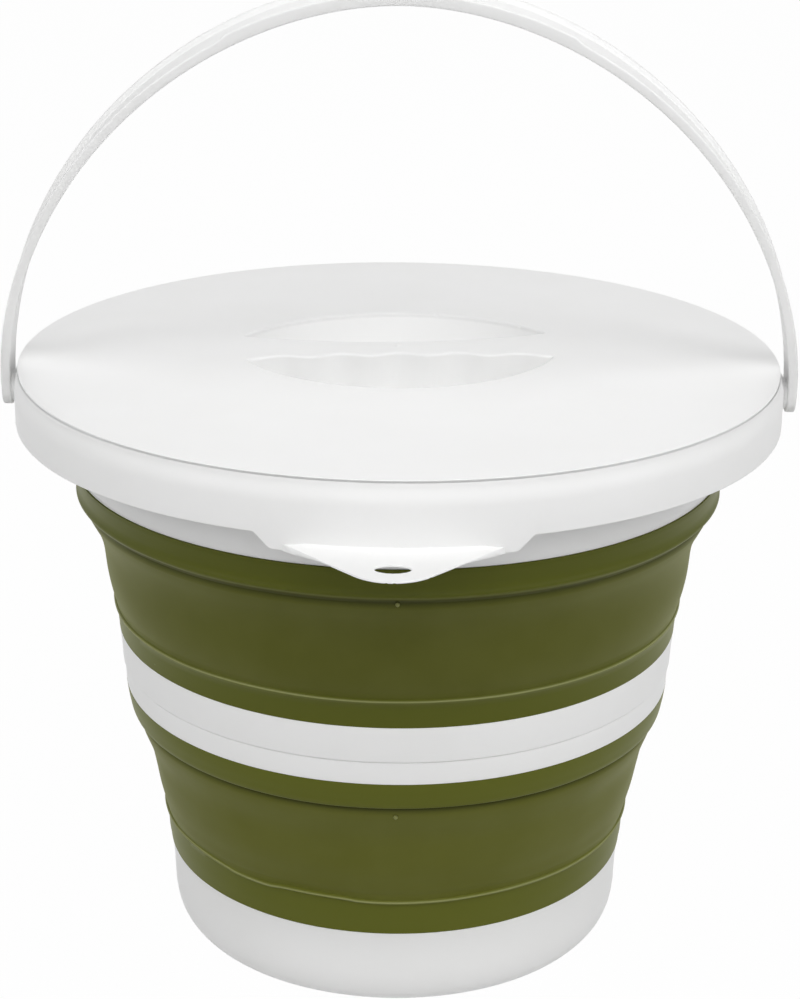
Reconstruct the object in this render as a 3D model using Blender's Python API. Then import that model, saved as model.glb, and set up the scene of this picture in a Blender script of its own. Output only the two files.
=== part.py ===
"""Collapsible camp bucket: base cup, two folding walls, middle ring, rim, lid and bail handle.

Metres, +Z up. The origin is on the bucket's axis, at the face that it stands on, and -Y is the
front, where the hang tab is. The bucket is modelled open, with its lid on and its handle raised.
"""

import math

import bmesh
import bpy
from mathutils import Vector

# Faceting
TURN_STEPS = 48
PEG_STEPS = 24
ARC_STEPS = 10
ARCH_STEPS = 44
END_STEPS = 4
WELD_DISTANCE = 0.00001
SMOOTH_ANGLE = math.radians(32)
END_TURN = math.radians(78)

SIDES = (("left", -1), ("right", 1))

# Clearances
MOULDED_GAP = 0.0003
LID_SIDE_GAP = 0.0004
SEAT_GAP = 0.0003
BORE_GAP = 0.0003
CUT_OVERRUN = 0.002

# Base cup: the foot, the curve outwards from it and the flared side
CUP_FOOT_RADIUS = 0.0890
CUP_CURVE_RUN = 0.0086
CUP_SIDE_FLARE = 0.0016
CUP_HEIGHT = 0.0350
CUP_CURVE_HEIGHT = 0.0130
CUP_WALL = 0.0025
CUP_FLOOR = 0.0026
CUP_DISH_INSET = 0.0190
CUP_DISH_WIDTH = 0.0080
CUP_DISH_DEPTH = 0.0008

# Middle ring
MID_HEIGHT = 0.0252
MID_FLARE = 0.0022
MID_STEP = 0.0004
MID_STEP_SHARE = 0.40

# Rim: collar, flange, skirt, and the recess that the lid lies in
COLLAR_FLARE = 0.0032
COLLAR_WALL = 0.0026
RIM_HEIGHT = 0.0419
FLANGE_WIDTH = 0.0198
SKIRT_HEIGHT = 0.0219
SKIRT_TAPER = 0.0014
SKIRT_WALL = 0.0020
SKIRT_ROUND = 0.0040
FLANGE_THICKNESS = 0.0022
RECESS_DEPTH = 0.0027
RECESS_LIP = 0.0006

# Tongues of the hard rings, which the soft walls are moulded over
TONGUE_HEIGHT = 0.0070
TONGUE_THICKNESS = 0.0011
TONGUE_COVER = 0.0014

# Folding walls: rise and flare between the rings, the stiff bands and the two thin folds
LOWER_WALL_RISE = 0.0761
UPPER_WALL_RISE = 0.0716
LOWER_WALL_FLARE = 0.0173
UPPER_WALL_FLARE = 0.0171
PANEL_THICKNESS = 0.0021
FOLD_THICKNESS = 0.0011
FOLD_GROOVE = 0.0009
FOLD_HALF_HEIGHT = 0.0011
LOWER_FOOT_HEIGHT = 0.0172
UPPER_FOOT_HEIGHT = 0.0131
FOOT_FLARE = 0.0015
SHOULDER_HEIGHT = 0.0123
SHOULDER_FLARE = 0.0022
# Panel outline between the folds: share of the rise, share of the run outwards
LOWER_PANEL_SHARES = ((0.25, 0.24), (0.43, 0.38), (0.60, 0.50), (0.76, 0.69), (0.88, 0.87))
UPPER_PANEL_SHARES = ((0.23, 0.18), (0.41, 0.27), (0.60, 0.38), (0.76, 0.59), (0.88, 0.84))

# Apron and hang tab at the front of the skirt
APRON_DROP = 0.0059
APRON_TOP_HALF_WIDTH = 0.0503
APRON_BOTTOM_HALF_WIDTH = 0.0443
TAB_THICKNESS = 0.0026
TAB_HALF_WIDTH = 0.0410
TAB_REACH = 0.0226
TAB_TIP_RADIUS = 0.0115
TAB_HOLE_WIDTH = 0.0150
TAB_HOLE_DEPTH = 0.0112
TAB_HOLE_REACH = 0.0140

# Lid: crowned plate, locating ring and the two finger wells beside the grip bar
LID_EDGE_THICKNESS = 0.0022
LID_CROWN = 0.0030
LID_WALL = 0.0018
LID_EDGE_ROUND = 0.0008
LID_RING_DEPTH = 0.0080
LID_RING_GAP = 0.0010
WELL_DEPTH = 0.0180
FRONT_WELL_REACH = 0.0533
FRONT_WELL_RADIUS = 0.0681
BACK_WELL_REACH = 0.0564
BACK_WELL_RADIUS = 0.0794
BACK_WELL_END = 0.0240
BAR_FRONT = 0.0121
BAR_BACK = 0.0122
SCALLOP_PITCH = 0.0244
SCALLOP_DEPTH = 0.0036
SCALLOP_HOLLOWS = 5
SCALLOP_STEPS = 6

# Bail handle: a channelled strap on a flattened arch
PIVOT_DROP = 0.0142
HANDLE_SIDE_GAP = 0.0014
HANDLE_RISE = 0.1700
HANDLE_ROUNDNESS_SHARE = 0.945
HANDLE_LEAN = math.radians(12.7)
STRAP_WIDTH = 0.0200
STRAP_END_RADIUS = 0.0086
STRAP_TAPER_HEIGHT = 0.0350
STRAP_FLOOR = 0.0021
STRAP_LIP_WIDTH = 0.0024
STRAP_LIP_SLOPE = 0.0007
STRAP_LIP_HEIGHT = 0.0040
GRIP_LIP_HEIGHT = 0.0052
GRIP_HALF_LENGTH = 0.0690
GRIP_STEP_LENGTH = 0.0040
PAD_HEIGHT = 0.0130
PAD_RUNOUT = 0.0080

# Handle pegs and the bosses that they turn in
PEG_RADIUS = 0.0040
PEG_SHOULDER_RADIUS = 0.0065
PEG_HEAD_RADIUS = 0.0053
PEG_HEAD_LENGTH = 0.0016
BOSS_RADIUS = 0.0080
BOSS_PROUD = 0.0002
BOSS_DEPTH = 0.0032

# Colours, linear
WHITE = (0.83, 0.83, 0.82, 1.0)
OLIVE = (0.078, 0.084, 0.022, 1.0)

# Radii that follow, from the foot outwards
CUP_SIDE_RADIUS = CUP_FOOT_RADIUS + CUP_CURVE_RUN
CUP_TOP_RADIUS = CUP_SIDE_RADIUS + CUP_SIDE_FLARE
CUP_DISH_RADIUS = CUP_FOOT_RADIUS - CUP_DISH_INSET
MID_BOTTOM_RADIUS = CUP_TOP_RADIUS + LOWER_WALL_FLARE
MID_TOP_RADIUS = MID_BOTTOM_RADIUS + MID_FLARE
COLLAR_BOTTOM_RADIUS = MID_TOP_RADIUS + UPPER_WALL_FLARE
COLLAR_TOP_RADIUS = COLLAR_BOTTOM_RADIUS + COLLAR_FLARE
SKIRT_RADIUS = COLLAR_TOP_RADIUS + FLANGE_WIDTH
SKIRT_TOP_RADIUS = SKIRT_RADIUS - SKIRT_TAPER
RECESS_RADIUS = SKIRT_TOP_RADIUS - RECESS_LIP
LID_RADIUS = RECESS_RADIUS - LID_SIDE_GAP
HANDLE_HALF_SPAN = SKIRT_RADIUS + HANDLE_SIDE_GAP

# Heights that follow
MID_BOTTOM = CUP_HEIGHT + LOWER_WALL_RISE
MID_TOP = MID_BOTTOM + MID_HEIGHT
COLLAR_BOTTOM = MID_TOP + UPPER_WALL_RISE
RIM_TOP = COLLAR_BOTTOM + RIM_HEIGHT
SKIRT_BOTTOM = RIM_TOP - SKIRT_HEIGHT
FLANGE_TOP = RIM_TOP - RECESS_DEPTH
FLANGE_BOTTOM = FLANGE_TOP - FLANGE_THICKNESS
APRON_BOTTOM = SKIRT_BOTTOM - APRON_DROP
LID_SEAT = FLANGE_TOP + SEAT_GAP
LID_EDGE_TOP = LID_SEAT + LID_EDGE_THICKNESS
PIVOT_HEIGHT = RIM_TOP - PIVOT_DROP

# Flat outer face of a handle boss, and its inner end
BOSS_FACE = SKIRT_RADIUS + BOSS_PROUD
BOSS_INNER = BOSS_FACE - BOSS_DEPTH


def clear_scene():
    """Remove every object of the open scene."""
    for item in list(bpy.data.objects):
        bpy.data.objects.remove(item, do_unlink=True)


def plastic(name, colour, roughness):
    """Return a material of one colour and roughness."""
    material = bpy.data.materials.new(name)
    material.use_nodes = True
    shader = material.node_tree.nodes["Principled BSDF"]
    shader.inputs["Base Color"].default_value = colour
    shader.inputs["Roughness"].default_value = roughness
    shader.inputs["Metallic"].default_value = 0.0
    return material


def smoothstep(low, high, value):
    """Return 0 below low, 1 above high and a soft ramp between them."""
    share = min(max((value - low) / (high - low), 0.0), 1.0)
    return share * share * (3.0 - 2.0 * share)


def finish_mesh(bm, name):
    """Turn a bmesh into a mesh with outward faces and smooth round sides."""
    bmesh.ops.recalc_face_normals(bm, faces=bm.faces)
    mesh = bpy.data.meshes.new(name)
    bm.to_mesh(mesh)
    bm.free()
    mesh.shade_smooth()
    mesh.set_sharp_from_angle(angle=SMOOTH_ANGLE)
    return mesh


def turned_mesh(name, outline, closed):
    """Spin an outline of (radius, height) points about the bucket's axis."""
    bm = bmesh.new()
    points = [bm.verts.new((radius, 0.0, height)) for radius, height in outline]
    edges = [bm.edges.new(pair) for pair in zip(points, points[1:])]
    if closed:
        edges.append(bm.edges.new((points[-1], points[0])))
    bmesh.ops.spin(
        bm,
        geom=points + edges,
        cent=(0, 0, 0),
        axis=(0, 0, 1),
        angle=math.tau,
        steps=TURN_STEPS,
        use_merge=True,
    )
    bmesh.ops.remove_doubles(bm, verts=bm.verts, dist=WELD_DISTANCE)
    return finish_mesh(bm, name)


def prism_mesh(name, outline, rise):
    """Extrude a flat outline of 3-D points along a vector."""
    bm = bmesh.new()
    face = bm.faces.new([bm.verts.new(point) for point in outline])
    swept = bmesh.ops.extrude_face_region(bm, geom=[face])
    moved = [item for item in swept["geom"] if isinstance(item, bmesh.types.BMVert)]
    bmesh.ops.translate(bm, verts=moved, vec=rise)
    return finish_mesh(bm, name)


def peg_mesh(name, radius, inner, outer, side, height=0.0):
    """Make a round peg along X, between two distances from the axis, on the side -1 or 1."""
    turns = [math.tau * step / PEG_STEPS for step in range(PEG_STEPS)]
    outline = [(side * inner, radius * math.cos(turn), height + radius * math.sin(turn)) for turn in turns]
    return prism_mesh(name, outline, Vector((side * (outer - inner), 0.0, 0.0)))


def add_piece(name, mesh, material, parent=None, height=0.0):
    """Place a piece on the bucket's axis at a height above its parent's origin."""
    piece = bpy.data.objects.new(name, mesh)
    bpy.context.collection.objects.link(piece)
    mesh.materials.append(material)
    piece.location = (0.0, 0.0, height)
    piece.parent = parent
    return piece


def combine(piece, mesh, operation):
    """Join, cut or trim a piece with a tool mesh that lies in the piece's own frame."""
    tool = bpy.data.objects.new(mesh.name, mesh)
    bpy.context.collection.objects.link(tool)
    tool.parent = piece
    tool.hide_render = True
    tool.display_type = "WIRE"
    step = piece.modifiers.new(mesh.name, "BOOLEAN")
    step.operation = operation
    step.solver = "EXACT"
    step.object = tool
    return tool


def arc(centre, radius, start, end, steps):
    """Return points on an arc, both ends included."""
    turns = [start + (end - start) * step / steps for step in range(steps + 1)]
    return [(centre[0] + radius * math.cos(turn), centre[1] + radius * math.sin(turn)) for turn in turns]


def base_cup_outline():
    """Outline of the cup: flat foot with a shallow ring groove, curved side, tongue and inside."""
    tongue_outer = CUP_TOP_RADIUS - TONGUE_COVER
    tongue_inner = tongue_outer - TONGUE_THICKNESS
    groove_half = CUP_DISH_WIDTH / 2
    curve = []
    for turn in (math.radians(30), math.radians(60)):
        run = CUP_CURVE_RUN * math.sin(turn)
        curve.append((CUP_FOOT_RADIUS + run, CUP_CURVE_HEIGHT * (1 - math.cos(turn))))
    inner_side = CUP_SIDE_RADIUS - CUP_WALL
    return [
        (0.0, 0.0),
        (CUP_DISH_RADIUS - groove_half, 0.0),
        (CUP_DISH_RADIUS, CUP_DISH_DEPTH),
        (CUP_DISH_RADIUS + groove_half, 0.0),
        (CUP_FOOT_RADIUS, 0.0),
        *curve,
        (CUP_SIDE_RADIUS, CUP_CURVE_HEIGHT),
        (CUP_TOP_RADIUS, CUP_HEIGHT),
        (tongue_outer, CUP_HEIGHT),
        (tongue_outer, CUP_HEIGHT + TONGUE_HEIGHT),
        (tongue_inner, CUP_HEIGHT + TONGUE_HEIGHT),
        (inner_side, CUP_CURVE_HEIGHT),
        (CUP_FOOT_RADIUS - CUP_WALL, CUP_FLOOR),
        (0.0, CUP_FLOOR),
    ]


def lower_tongue_radius(band_radius):
    """Outer radius of a tongue that hangs from a ring into the shoulder of the wall below."""
    taper = SHOULDER_FLARE * TONGUE_HEIGHT / SHOULDER_HEIGHT
    return band_radius - TONGUE_COVER - taper


def mid_ring_outline():
    """Outline of the middle ring, with a tongue below and one above."""
    low_outer = lower_tongue_radius(MID_BOTTOM_RADIUS)
    high_outer = MID_TOP_RADIUS - TONGUE_COVER
    step_height = MID_BOTTOM + MID_HEIGHT * MID_STEP_SHARE
    step_radius = MID_BOTTOM_RADIUS + MID_FLARE * MID_STEP_SHARE
    return [
        (low_outer - TONGUE_THICKNESS, MID_BOTTOM - TONGUE_HEIGHT),
        (low_outer, MID_BOTTOM - TONGUE_HEIGHT),
        (low_outer, MID_BOTTOM),
        (MID_BOTTOM_RADIUS, MID_BOTTOM),
        (step_radius, step_height),
        (step_radius + MID_STEP, step_height + MID_STEP),
        (MID_TOP_RADIUS, MID_TOP),
        (high_outer, MID_TOP),
        (high_outer, MID_TOP + TONGUE_HEIGHT),
        (high_outer - TONGUE_THICKNESS, MID_TOP + TONGUE_HEIGHT),
    ]


def wall_outline(bottom, top, bottom_radius, top_radius, foot_height, panel_shares):
    """Outline of a folding wall between the edges of two hard rings.

    A stiff foot and a stiff shoulder hold the rings' tongues. Between them the panel hangs on
    two thin folds, where it turns inside out when the bucket is pushed flat.
    """
    low = bottom + MOULDED_GAP
    high = top - MOULDED_GAP
    low_fold = bottom + foot_height
    high_fold = top - SHOULDER_HEIGHT
    foot_radius = bottom_radius + FOOT_FLARE
    shoulder_radius = top_radius - SHOULDER_FLARE
    groove_low = foot_radius - FOLD_GROOVE
    groove_high = shoulder_radius - FOLD_GROOVE
    panel = [(foot_radius, low_fold + FOLD_HALF_HEIGHT)]
    panel_run = shoulder_radius - FOLD_GROOVE / 2 - foot_radius
    for rise_share, run_share in panel_shares:
        height = low_fold + (high_fold - low_fold) * rise_share
        panel.append((foot_radius + panel_run * run_share, height))
    panel.append((foot_radius + panel_run, high_fold - FOLD_HALF_HEIGHT))
    inner_panel = [(radius - PANEL_THICKNESS, height) for radius, height in reversed(panel[1:-1])]
    low_tongue = bottom_radius - TONGUE_COVER
    high_tongue = lower_tongue_radius(top_radius)
    low_slot = bottom + TONGUE_HEIGHT + MOULDED_GAP
    high_slot = top - TONGUE_HEIGHT - MOULDED_GAP
    return [
        (bottom_radius, low),
        (foot_radius, low_fold - FOLD_HALF_HEIGHT),
        (groove_low, low_fold),
        *panel,
        (groove_high, high_fold),
        (shoulder_radius, high_fold + FOLD_HALF_HEIGHT),
        (top_radius, high),
        (high_tongue + MOULDED_GAP, high),
        (high_tongue + MOULDED_GAP, high_slot),
        (high_tongue - TONGUE_THICKNESS, high_slot),
        (groove_high - FOLD_THICKNESS, high_fold),
        *inner_panel,
        (groove_low - FOLD_THICKNESS, low_fold),
        (low_tongue - TONGUE_THICKNESS, low_slot),
        (low_tongue + MOULDED_GAP, low_slot),
        (low_tongue + MOULDED_GAP, low),
    ]


def rim_outline():
    """Outline of the rim: tongue, collar, flange, recess lip and rounded skirt."""
    tongue_outer = lower_tongue_radius(COLLAR_BOTTOM_RADIUS)
    tongue_inner = tongue_outer - TONGUE_THICKNESS
    skirt_inner = SKIRT_RADIUS - SKIRT_WALL
    round_start = RIM_TOP - SKIRT_ROUND
    rounded = []
    for turn in (math.radians(35), math.radians(65)):
        radius = SKIRT_TOP_RADIUS + SKIRT_TAPER * math.cos(turn)
        rounded.append((radius, round_start + SKIRT_ROUND * math.sin(turn)))
    return [
        (tongue_inner, COLLAR_BOTTOM - TONGUE_HEIGHT),
        (tongue_outer, COLLAR_BOTTOM - TONGUE_HEIGHT),
        (tongue_outer, COLLAR_BOTTOM),
        (COLLAR_BOTTOM_RADIUS, COLLAR_BOTTOM),
        (COLLAR_TOP_RADIUS, FLANGE_BOTTOM),
        (skirt_inner, FLANGE_BOTTOM),
        (skirt_inner, SKIRT_BOTTOM),
        (SKIRT_RADIUS, SKIRT_BOTTOM),
        (SKIRT_RADIUS, round_start),
        *rounded,
        (SKIRT_TOP_RADIUS, RIM_TOP),
        (RECESS_RADIUS, RIM_TOP),
        (RECESS_RADIUS, FLANGE_TOP),
        (COLLAR_TOP_RADIUS - COLLAR_WALL, FLANGE_TOP),
    ]


def apron_mesh():
    """Ring from which the apron is trimmed: the skirt's wall carried on below its edge."""
    inner = SKIRT_RADIUS - SKIRT_WALL
    high = SKIRT_BOTTOM + SKIRT_WALL
    outline = [(inner, APRON_BOTTOM), (SKIRT_RADIUS, APRON_BOTTOM), (SKIRT_RADIUS, high), (inner, high)]
    return turned_mesh("apron", outline, closed=True)


def apron_trim_mesh():
    """Block that keeps the front of the apron, with slanted ends."""
    high = SKIRT_BOTTOM + CUT_OVERRUN
    low = APRON_BOTTOM - CUT_OVERRUN
    slope = (APRON_TOP_HALF_WIDTH - APRON_BOTTOM_HALF_WIDTH) / APRON_DROP
    low_half = APRON_BOTTOM_HALF_WIDTH - slope * CUT_OVERRUN
    high_half = APRON_TOP_HALF_WIDTH + slope * CUT_OVERRUN
    outline = [(-low_half, 0.0, low), (low_half, 0.0, low), (high_half, 0.0, high), (-high_half, 0.0, high)]
    return prism_mesh("apron_trim", outline, Vector((0.0, -SKIRT_RADIUS - CUT_OVERRUN, 0.0)))


def tab_mesh():
    """Level tab with a rounded tip, its root inside the apron's wall."""
    root_radius = SKIRT_RADIUS - SKIRT_WALL / 2
    root_turn = math.asin(TAB_HALF_WIDTH / root_radius)
    front = -math.pi / 2
    root = arc((0.0, 0.0), root_radius, front + root_turn, front - root_turn, ARC_STEPS)
    tip_centre = Vector((0.0, -SKIRT_RADIUS - TAB_REACH + TAB_TIP_RADIUS))
    corner = Vector(root[0])
    reach = corner - tip_centre
    side_turn = math.acos(TAB_TIP_RADIUS / reach.length)
    tangent = math.atan2(reach.y, reach.x) - side_turn
    tip = arc(tip_centre, TAB_TIP_RADIUS, -math.pi - tangent, tangent, ARC_STEPS)
    outline = [(x, y, APRON_BOTTOM) for x, y in root + tip]
    return prism_mesh("tab", outline, Vector((0.0, 0.0, TAB_THICKNESS)))


def tab_hole_mesh():
    """Oval hole through the tab."""
    centre = -SKIRT_RADIUS - TAB_HOLE_REACH
    low = APRON_BOTTOM - CUT_OVERRUN
    outline = []
    for step in range(PEG_STEPS):
        turn = math.tau * step / PEG_STEPS
        across = math.cos(turn) * TAB_HOLE_WIDTH / 2
        along = math.sin(turn) * TAB_HOLE_DEPTH / 2
        outline.append((across, centre + along, low))
    return prism_mesh("tab_hole", outline, Vector((0.0, 0.0, TAB_THICKNESS + 2 * CUT_OVERRUN)))


def add_rim(material, parent):
    """Rim with its apron, hang tab and the two bored bosses for the handle."""
    rim = add_piece("rim_frame", turned_mesh("rim_frame", rim_outline(), closed=True), material, parent)
    apron = combine(rim, apron_mesh(), "UNION")
    combine(apron, apron_trim_mesh(), "INTERSECT")
    combine(rim, tab_mesh(), "UNION")
    combine(rim, tab_hole_mesh(), "DIFFERENCE")
    bore_radius = PEG_RADIUS + BORE_GAP
    bore_inner = BOSS_INNER - CUT_OVERRUN
    bore_outer = BOSS_FACE + CUT_OVERRUN
    for label, side in SIDES:
        boss = peg_mesh(f"{label}_boss", BOSS_RADIUS, BOSS_INNER, BOSS_FACE, side, PIVOT_HEIGHT)
        combine(rim, boss, "UNION")
        bore = peg_mesh(f"{label}_bore", bore_radius, bore_inner, bore_outer, side, PIVOT_HEIGHT)
        combine(rim, bore, "DIFFERENCE")
    return rim


def collar_inner_radius(height):
    """Radius of the collar's inside at a height, between its tongue and the flange."""
    low = COLLAR_BOTTOM - TONGUE_HEIGHT
    low_radius = lower_tongue_radius(COLLAR_BOTTOM_RADIUS) - TONGUE_THICKNESS
    high_radius = COLLAR_TOP_RADIUS - COLLAR_WALL
    return low_radius + (high_radius - low_radius) * (height - low) / (FLANGE_TOP - low)


def lid_outline():
    """Outline of the crowned plate with its rounded edge and the locating ring below."""
    crown = []
    for share in (0.0, 0.35, 0.65, 0.88):
        radius = (LID_RADIUS - LID_EDGE_ROUND) * share
        crown.append((radius, LID_EDGE_TOP + LID_CROWN * (1 - share * share)))
    under = [(radius, height - LID_EDGE_THICKNESS) for radius, height in reversed(crown[:-1])]
    ring_bottom = LID_SEAT - LID_RING_DEPTH
    ring_outer = collar_inner_radius(ring_bottom) - LID_RING_GAP
    ring_inner = ring_outer - LID_WALL
    return [
        *crown,
        (LID_RADIUS - LID_EDGE_ROUND, LID_EDGE_TOP),
        (LID_RADIUS, LID_EDGE_TOP - LID_EDGE_ROUND),
        (LID_RADIUS, LID_SEAT),
        (ring_outer, LID_SEAT),
        (ring_outer, ring_bottom),
        (ring_inner, ring_bottom),
        (ring_inner, LID_SEAT),
        *under,
    ]


def front_well_outline(grow):
    """Front well: a round side towards the rim and a scalloped side along the grip bar."""
    radius = FRONT_WELL_RADIUS + grow
    centre = FRONT_WELL_RADIUS - FRONT_WELL_REACH
    straight = -BAR_FRONT + grow
    half_turn = math.acos((centre - straight) / radius)
    front = -math.pi / 2
    rounded = arc((0.0, centre), radius, front - half_turn, front + half_turn, 2 * ARC_STEPS)
    half_scallops = SCALLOP_PITCH * SCALLOP_HOLLOWS / 2
    count = SCALLOP_HOLLOWS * SCALLOP_STEPS
    scalloped = []
    for step in range(1, count):
        across = half_scallops - 2 * half_scallops * step / count
        hollow = (1 + math.cos(math.tau * across / SCALLOP_PITCH)) / 2
        scalloped.append((across, straight + SCALLOP_DEPTH * hollow))
    return rounded + scalloped


def back_well_outline(grow):
    """Back well: two shallow arcs that meet in points beside the grip bar's ends."""
    far_centre = BACK_WELL_REACH - BACK_WELL_RADIUS
    half_width = math.sqrt(BACK_WELL_RADIUS ** 2 - (BACK_WELL_END - far_centre) ** 2)
    sag = BACK_WELL_END - BAR_BACK
    near_radius = (half_width ** 2 + sag ** 2) / (2 * sag)
    near_centre = BAR_BACK + near_radius
    far_radius = BACK_WELL_RADIUS + grow
    near_radius += grow
    spacing = near_centre - far_centre
    far_along = (spacing ** 2 + far_radius ** 2 - near_radius ** 2) / (2 * spacing)
    far_turn = math.acos(far_along / far_radius)
    near_turn = math.acos((spacing - far_along) / near_radius)
    back = math.pi / 2
    far = arc((0.0, far_centre), far_radius, back - far_turn, back + far_turn, 2 * ARC_STEPS)
    near = arc((0.0, near_centre), near_radius, -back - near_turn, -back + near_turn, ARC_STEPS)
    return far + near[1:-1]


def well_mesh(name, outline, low, high):
    """Upright block on a well's outline."""
    points = [(x, y, low) for x, y in outline]
    return prism_mesh(name, points, Vector((0.0, 0.0, high - low)))


def add_lid(material, parent):
    """Lid with two open finger wells, each a thin-walled tub under the plate."""
    lid = add_piece("lid", turned_mesh("lid", lid_outline(), closed=False), material, parent)
    floor = LID_EDGE_TOP - WELL_DEPTH
    top = LID_EDGE_TOP + LID_CROWN + CUT_OVERRUN
    tub_top = LID_EDGE_TOP + LID_CROWN - LID_EDGE_THICKNESS / 2
    wells = (("front", front_well_outline), ("back", back_well_outline))
    for name, outline in wells:
        tub = well_mesh(f"{name}_tub", outline(LID_WALL), floor - LID_WALL, tub_top)
        combine(lid, tub, "UNION")
    for name, outline in wells:
        combine(lid, well_mesh(f"{name}_well", outline(0.0), floor, top), "DIFFERENCE")
    return lid


def strap_section(half_width, lip_height, floor_height):
    """Cross-section of the strap as (across, outwards): flat inside, a channel outside."""
    lip = min(STRAP_LIP_WIDTH, half_width / 3)
    slope = min(STRAP_LIP_SLOPE, half_width / 3)
    edge = half_width - lip
    foot = edge - slope
    return [
        (-half_width, 0.0),
        (half_width, 0.0),
        (half_width, lip_height),
        (edge, lip_height),
        (foot, floor_height),
        (-foot, floor_height),
        (-edge, lip_height),
        (-half_width, lip_height),
    ]


def arch_point(turn):
    """Point of the strap's inner face, from one pivot over the top to the other."""
    power = 1 / HANDLE_ROUNDNESS_SHARE
    across = math.copysign(abs(math.cos(turn)) ** power, math.cos(turn))
    return Vector((HANDLE_HALF_SPAN * across, 0.0, HANDLE_RISE * abs(math.sin(turn)) ** power))


def strap_stations():
    """Places along the strap: point, outward direction, half width, lip and floor heights."""
    stations = []
    for step in range(END_STEPS):
        turn = END_TURN * (1 - step / END_STEPS)
        point = Vector((HANDLE_HALF_SPAN, 0.0, -STRAP_END_RADIUS * math.sin(turn)))
        half_width = STRAP_END_RADIUS * math.cos(turn)
        stations.append((point, Vector((1.0, 0.0, 0.0)), half_width, STRAP_LIP_HEIGHT, STRAP_LIP_HEIGHT))
    for step in range(ARCH_STEPS // 2 + 1):
        turn = math.pi * step / ARCH_STEPS
        point = arch_point(turn)
        ahead = arch_point(turn + math.pi / ARCH_STEPS / 4)
        run = ahead - arch_point(max(turn - math.pi / ARCH_STEPS / 4, 0.0))
        outward = Vector((run.z, 0.0, -run.x)).normalized()
        widen = smoothstep(0.0, STRAP_TAPER_HEIGHT, point.z)
        half_width = STRAP_END_RADIUS + (STRAP_WIDTH / 2 - STRAP_END_RADIUS) * widen
        grip = 1 - smoothstep(GRIP_HALF_LENGTH, GRIP_HALF_LENGTH + GRIP_STEP_LENGTH, abs(point.x))
        lip_height = STRAP_LIP_HEIGHT + (GRIP_LIP_HEIGHT - STRAP_LIP_HEIGHT) * grip
        pad = 1 - smoothstep(PAD_HEIGHT, PAD_HEIGHT + PAD_RUNOUT, point.z)
        floor_height = STRAP_FLOOR + (lip_height - STRAP_FLOOR) * pad
        stations.append((point, outward, half_width, lip_height, floor_height))
    mirrored = []
    for point, outward, half_width, lip_height, floor_height in reversed(stations[:-1]):
        left = Vector((-point.x, 0.0, point.z))
        mirrored.append((left, Vector((-outward.x, 0.0, outward.z)), half_width, lip_height, floor_height))
    return stations + mirrored


def strap_mesh():
    """Loft the strap's section along its stations."""
    bm = bmesh.new()
    loops = []
    for point, outward, half_width, lip_height, floor_height in strap_stations():
        loop = []
        for across, out in strap_section(half_width, lip_height, floor_height):
            loop.append(bm.verts.new(point + outward * out + Vector((0.0, across, 0.0))))
        loops.append(loop)
    for near, far in zip(loops, loops[1:]):
        count = len(near)
        for index in range(count):
            following = (index + 1) % count
            bm.faces.new((near[index], near[following], far[following], far[index]))
    bm.faces.new(loops[0])
    bm.faces.new(loops[-1])
    return finish_mesh(bm, "bail_handle")


def add_handle(material, parent):
    """Bail handle whose pegs pass through the rim's bosses and end in snap heads."""
    handle = add_piece("bail_handle", strap_mesh(), material, parent, PIVOT_HEIGHT)
    handle.rotation_euler = (HANDLE_LEAN, 0.0, 0.0)
    behind = BOSS_INNER - SEAT_GAP
    root = HANDLE_HALF_SPAN + STRAP_LIP_HEIGHT / 2
    for label, side in SIDES:
        shoulder = peg_mesh(f"{label}_shoulder", PEG_SHOULDER_RADIUS, BOSS_FACE + SEAT_GAP, root, side)
        combine(handle, shoulder, "UNION")
        peg = peg_mesh(f"{label}_peg", PEG_RADIUS, behind - PEG_HEAD_LENGTH / 2, root, side)
        combine(handle, peg, "UNION")
        head = peg_mesh(f"{label}_head", PEG_HEAD_RADIUS, behind - PEG_HEAD_LENGTH, behind, side)
        combine(handle, head, "UNION")
    return handle


def add_wall(name, material, parent, outline):
    """Soft folding wall between two hard rings."""
    return add_piece(name, turned_mesh(name, outline, closed=True), material, parent)


def main():
    clear_scene()
    white = plastic("white_polypropylene", WHITE, 0.38)
    olive = plastic("olive_rubber", OLIVE, 0.55)
    cup_mesh = turned_mesh("base_cup", base_cup_outline(), closed=False)
    cup = add_piece("base_cup", cup_mesh, white)
    lower = wall_outline(
        bottom=CUP_HEIGHT,
        top=MID_BOTTOM,
        bottom_radius=CUP_TOP_RADIUS,
        top_radius=MID_BOTTOM_RADIUS,
        foot_height=LOWER_FOOT_HEIGHT,
        panel_shares=LOWER_PANEL_SHARES,
    )
    add_wall("lower_wall", olive, cup, lower)
    ring_mesh = turned_mesh("mid_ring", mid_ring_outline(), closed=True)
    ring = add_piece("mid_ring", ring_mesh, white, cup)
    upper = wall_outline(
        bottom=MID_TOP,
        top=COLLAR_BOTTOM,
        bottom_radius=MID_TOP_RADIUS,
        top_radius=COLLAR_BOTTOM_RADIUS,
        foot_height=UPPER_FOOT_HEIGHT,
        panel_shares=UPPER_PANEL_SHARES,
    )
    add_wall("upper_wall", olive, ring, upper)
    rim = add_rim(white, ring)
    add_lid(white, rim)
    add_handle(white, rim)


main()
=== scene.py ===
"""Looks of a round collapsible camp bucket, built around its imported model.

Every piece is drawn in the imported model's frame: the axis of the bucket is Z, the ground is at
zero, and the hang tab points to -Y. Size fields are in millimetres, meshes in metres.
"""

import logging
import math
from collections.abc import Callable, Iterable, Sequence
from dataclasses import dataclass
from enum import Enum

import bmesh
import bpy
import numpy as np
from bpy.types import Material, Mesh, NodeSocket, NodeTree, Object
from mathutils import Matrix, Vector
from mathutils.geometry import delaunay_2d_cdt


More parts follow.
